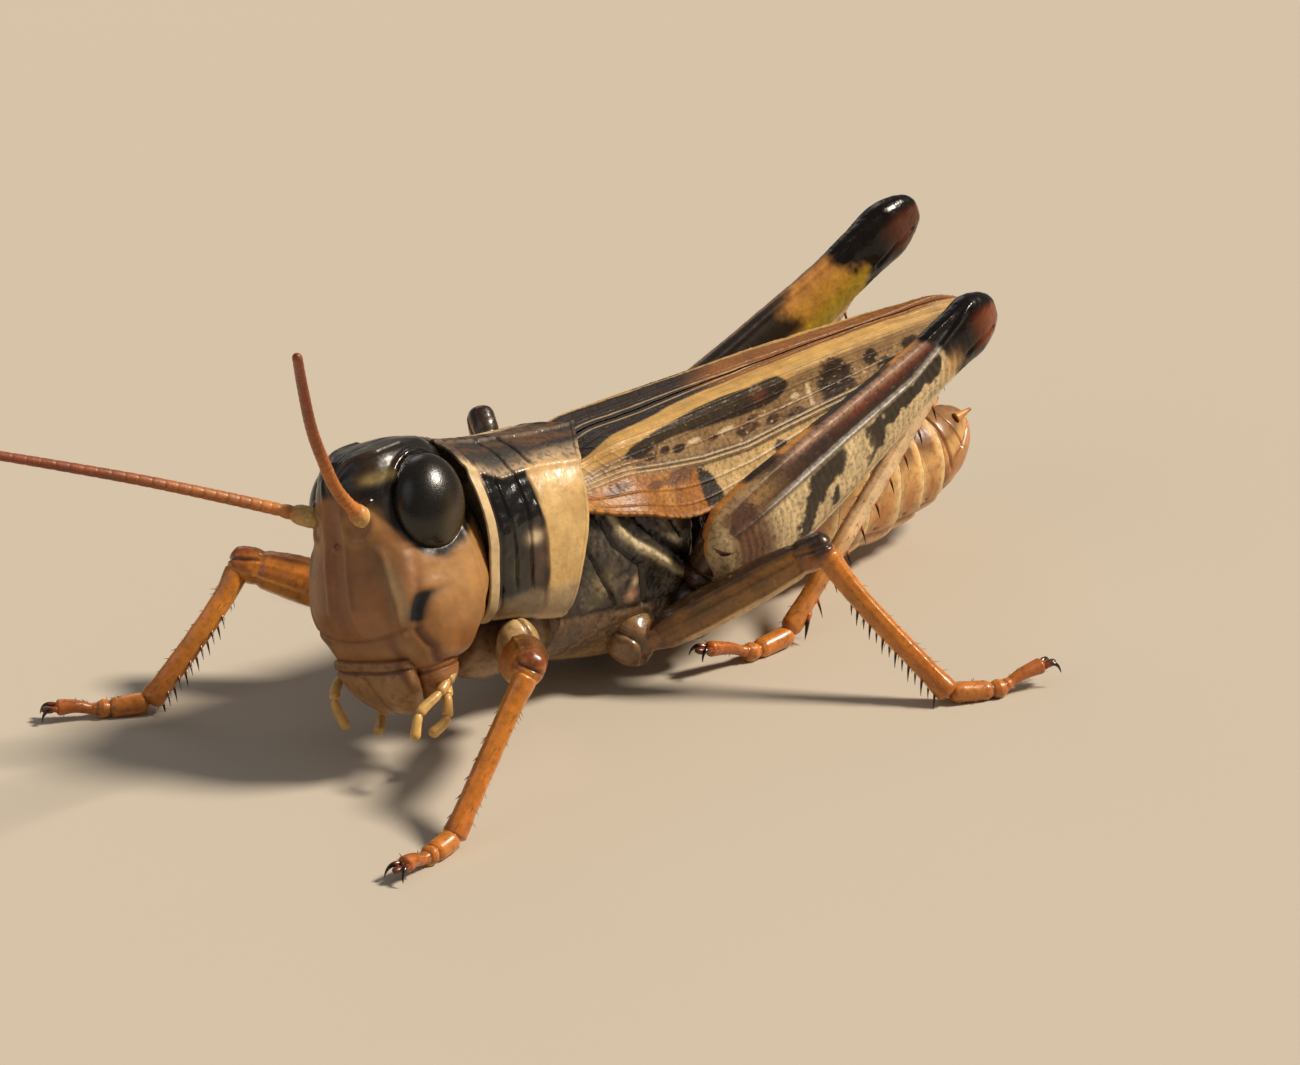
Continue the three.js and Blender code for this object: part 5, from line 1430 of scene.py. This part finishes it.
def legs():
    for name, joints in LEGS.items():
        pair, letter = name.split("_")
        side = 1 if letter == "l" else -1
        hip, knee, heel, ball, tip = np.array(joints, float)
        along, thigh_along = unit(heel - knee), unit(knee - hip)
        belly = unit(along * (thigh_along @ along) - thigh_along)
        if pair == "hind":
            lateral, piece, slot, cover = X, hind_thigh(side, hip, knee), "leg_brown", THIGH_SHELL
        else:
            lateral = unit(np.cross(knee - hip, heel - knee))
            belly = -belly
            piece, cover = short_thigh(pair, hip, knee, lateral), LIMB
            slot = "leg_orange" if pair == "fore" else "leg_brown"
        piece.done(f"{pair}_thigh_{letter}", [f"{pair}_femur_{letter}"], slot, cover)
        piece = shin(pair, knee, heel, lateral, belly)
        piece.done(f"{pair}_shin_{letter}", [f"{pair}_tibia_{letter}"], "leg_orange", LIMB)
        piece = foot(pair, heel, ball, tip)
        piece.done(f"{pair}_foot_{letter}", [f"{pair}_tarsus_{letter}"], "leg_orange", LIMB)
        slot = "shell_pale" if pair == "fore" else "leg_brown"
        piece = hip_joint(pair, side, hip, knee, lateral)
        piece.done(f"{pair}_hip_{letter}", [f"{pair}_coxa_{letter}"], slot, LIMB)


def bristles():
    """All the hairs in one mesh, each a thin three-sided cone with its own patch on the map."""
    points, faces, maps = [], [], []
    for root, way, length, u, v in HAIRS:
        start = len(points)
        side = unit(np.cross(way, Z if abs(way[2]) < 0.9 else X))
        other = np.cross(way, side)
        for share, wide in ((-0.1, 0.011), (0.5, 0.008)):
            for angle in circle(3):
                out = side * math.cos(angle) + other * math.sin(angle)
                points.append(root + way * length * share + out * wide)
        points.append(root + way * length - Z * 0.02 * length)
        patches = [[(0, 0), (0.3, 0), (0.1, 0.1)]]
        for k in range(3):
            after = (k + 1) % 3
            faces.append((start + k, start + after, start + 3 + after, start + 3 + k))
            faces.append((start + 3 + k, start + 3 + after, start + 6))
            left, right = k / 3, (k + 1) / 3
            patches[-1:-1] = [[(left, 0), (right, 0), (right, 0.5), (left, 0.5)],
                              [(left, 0.5), (right, 0.5), ((k + 0.5) / 3, 1)]]
        faces.append((start + 2, start + 1, start))
        maps += [np.array(patch) * 0.003 + [0.01 + 0.97 * u, 0.01 + 0.97 * v] for patch in patches]
    points = to_metres(np.array(points))
    mesh = bpy.data.meshes.new("bristles")
    mesh.from_pydata(points.tolist(), [], faces)
    paint, finish = (np.tile(value, (len(points), 1)) for value in (colour("#a5804c"), (0.5, 0.1, 0.1)))
    hand_over(mesh, np.concatenate(maps), paint, finish, BRISTLE, [])


# ---- Studio ----
# The photo's camera: how far away, where it looks (in build millimetres) and from which side.
DISTANCE, TARGET = 99.1, np.array([1.447, 0.878, 3.31])
AZIMUTH, ELEVATION = math.radians(45.54), math.radians(22.42)
PIXELS_PER_MM, PHOTO_WIDTH, SENSOR = 46.46, 1300, 36


def placed(name, data, at, right, away):
    """An object at a place that looks against away."""
    body = bpy.data.objects.new(name, data)
    bpy.context.scene.collection.objects.link(body)
    turn = Matrix((right, np.cross(away, right), away)).transposed()
    body.matrix_world = Matrix.Translation(at) @ turn.to_4x4()
    return body


def lamp(name, target, direction, distance, size, strength, tint):
    """A round lamp so many metres away, or at 0 a sun. size is its width in metres or its angle."""
    light = bpy.data.lights.new(name, "AREA" if distance else "SUN")
    if distance:
        light.shape = "DISK"
        light.size = size
    else:
        light.angle = size
    light.energy = strength
    light.color = tint
    away = unit(direction)
    placed(name, light, target + away * distance, unit(np.cross(Z, away)), away)


def studio():
    bpy.ops.mesh.primitive_plane_add(size=4, location=(0, 0, 0))
    floor = bpy.context.object
    floor.name = "floor"
    material = bpy.data.materials.new("floor_paint")
    material.use_nodes = True
    surface = material.node_tree.nodes["Principled BSDF"]
    surface.inputs["Base Color"].default_value = (0.52, 0.46, 0.38, 1)
    surface.inputs["Roughness"].default_value = 0.8
    floor.data.materials.append(material)
    world = bpy.data.worlds.new("studio")
    bpy.context.scene.world = world
    world.use_nodes = True
    world.node_tree.nodes["Background"].inputs["Color"].default_value = (1, 0.97, 0.93, 1)
    world.node_tree.nodes["Background"].inputs["Strength"].default_value = 0.17

    flat = [math.sin(AZIMUTH) * math.cos(ELEVATION), -math.cos(AZIMUTH) * math.cos(ELEVATION)]
    toward = np.array([*flat, math.sin(ELEVATION)])
    right = np.array([math.cos(AZIMUTH), math.sin(AZIMUTH), 0])
    target = (TARGET + SHIFT) * MM
    camera = bpy.data.cameras.new("camera")
    camera.sensor_width = SENSOR
    camera.lens = SENSOR * DISTANCE * PIXELS_PER_MM / PHOTO_WIDTH
    camera.clip_start = 0.001
    camera.clip_end = 20
    bpy.context.scene.camera = placed("camera", camera, target + toward * DISTANCE * MM, right, toward)
    lamp("key", target, right * 0.85 + Z * 0.95 - toward * 0.1, 0, 0.22, 4.5, (1, 0.89, 0.74))
    lamp("fill", target, -right * 0.7 + Z * 0.5 + toward * 0.6, 0.3, 0.22, 0.07, (0.95, 0.97, 1))
    lamp("rim", target, -toward * 0.8 + Z * 0.8 - right * 0.2, 0.3, 0.12, 0.05, (1, 0.96, 0.9))
    bpy.context.scene.view_settings.view_transform = "Standard"


head()
eyes()
antennae()
mouth()
palps()
pronotum()
prosternum()
thorax()
abdomen()
wings()
legs()
bristles()
studio()
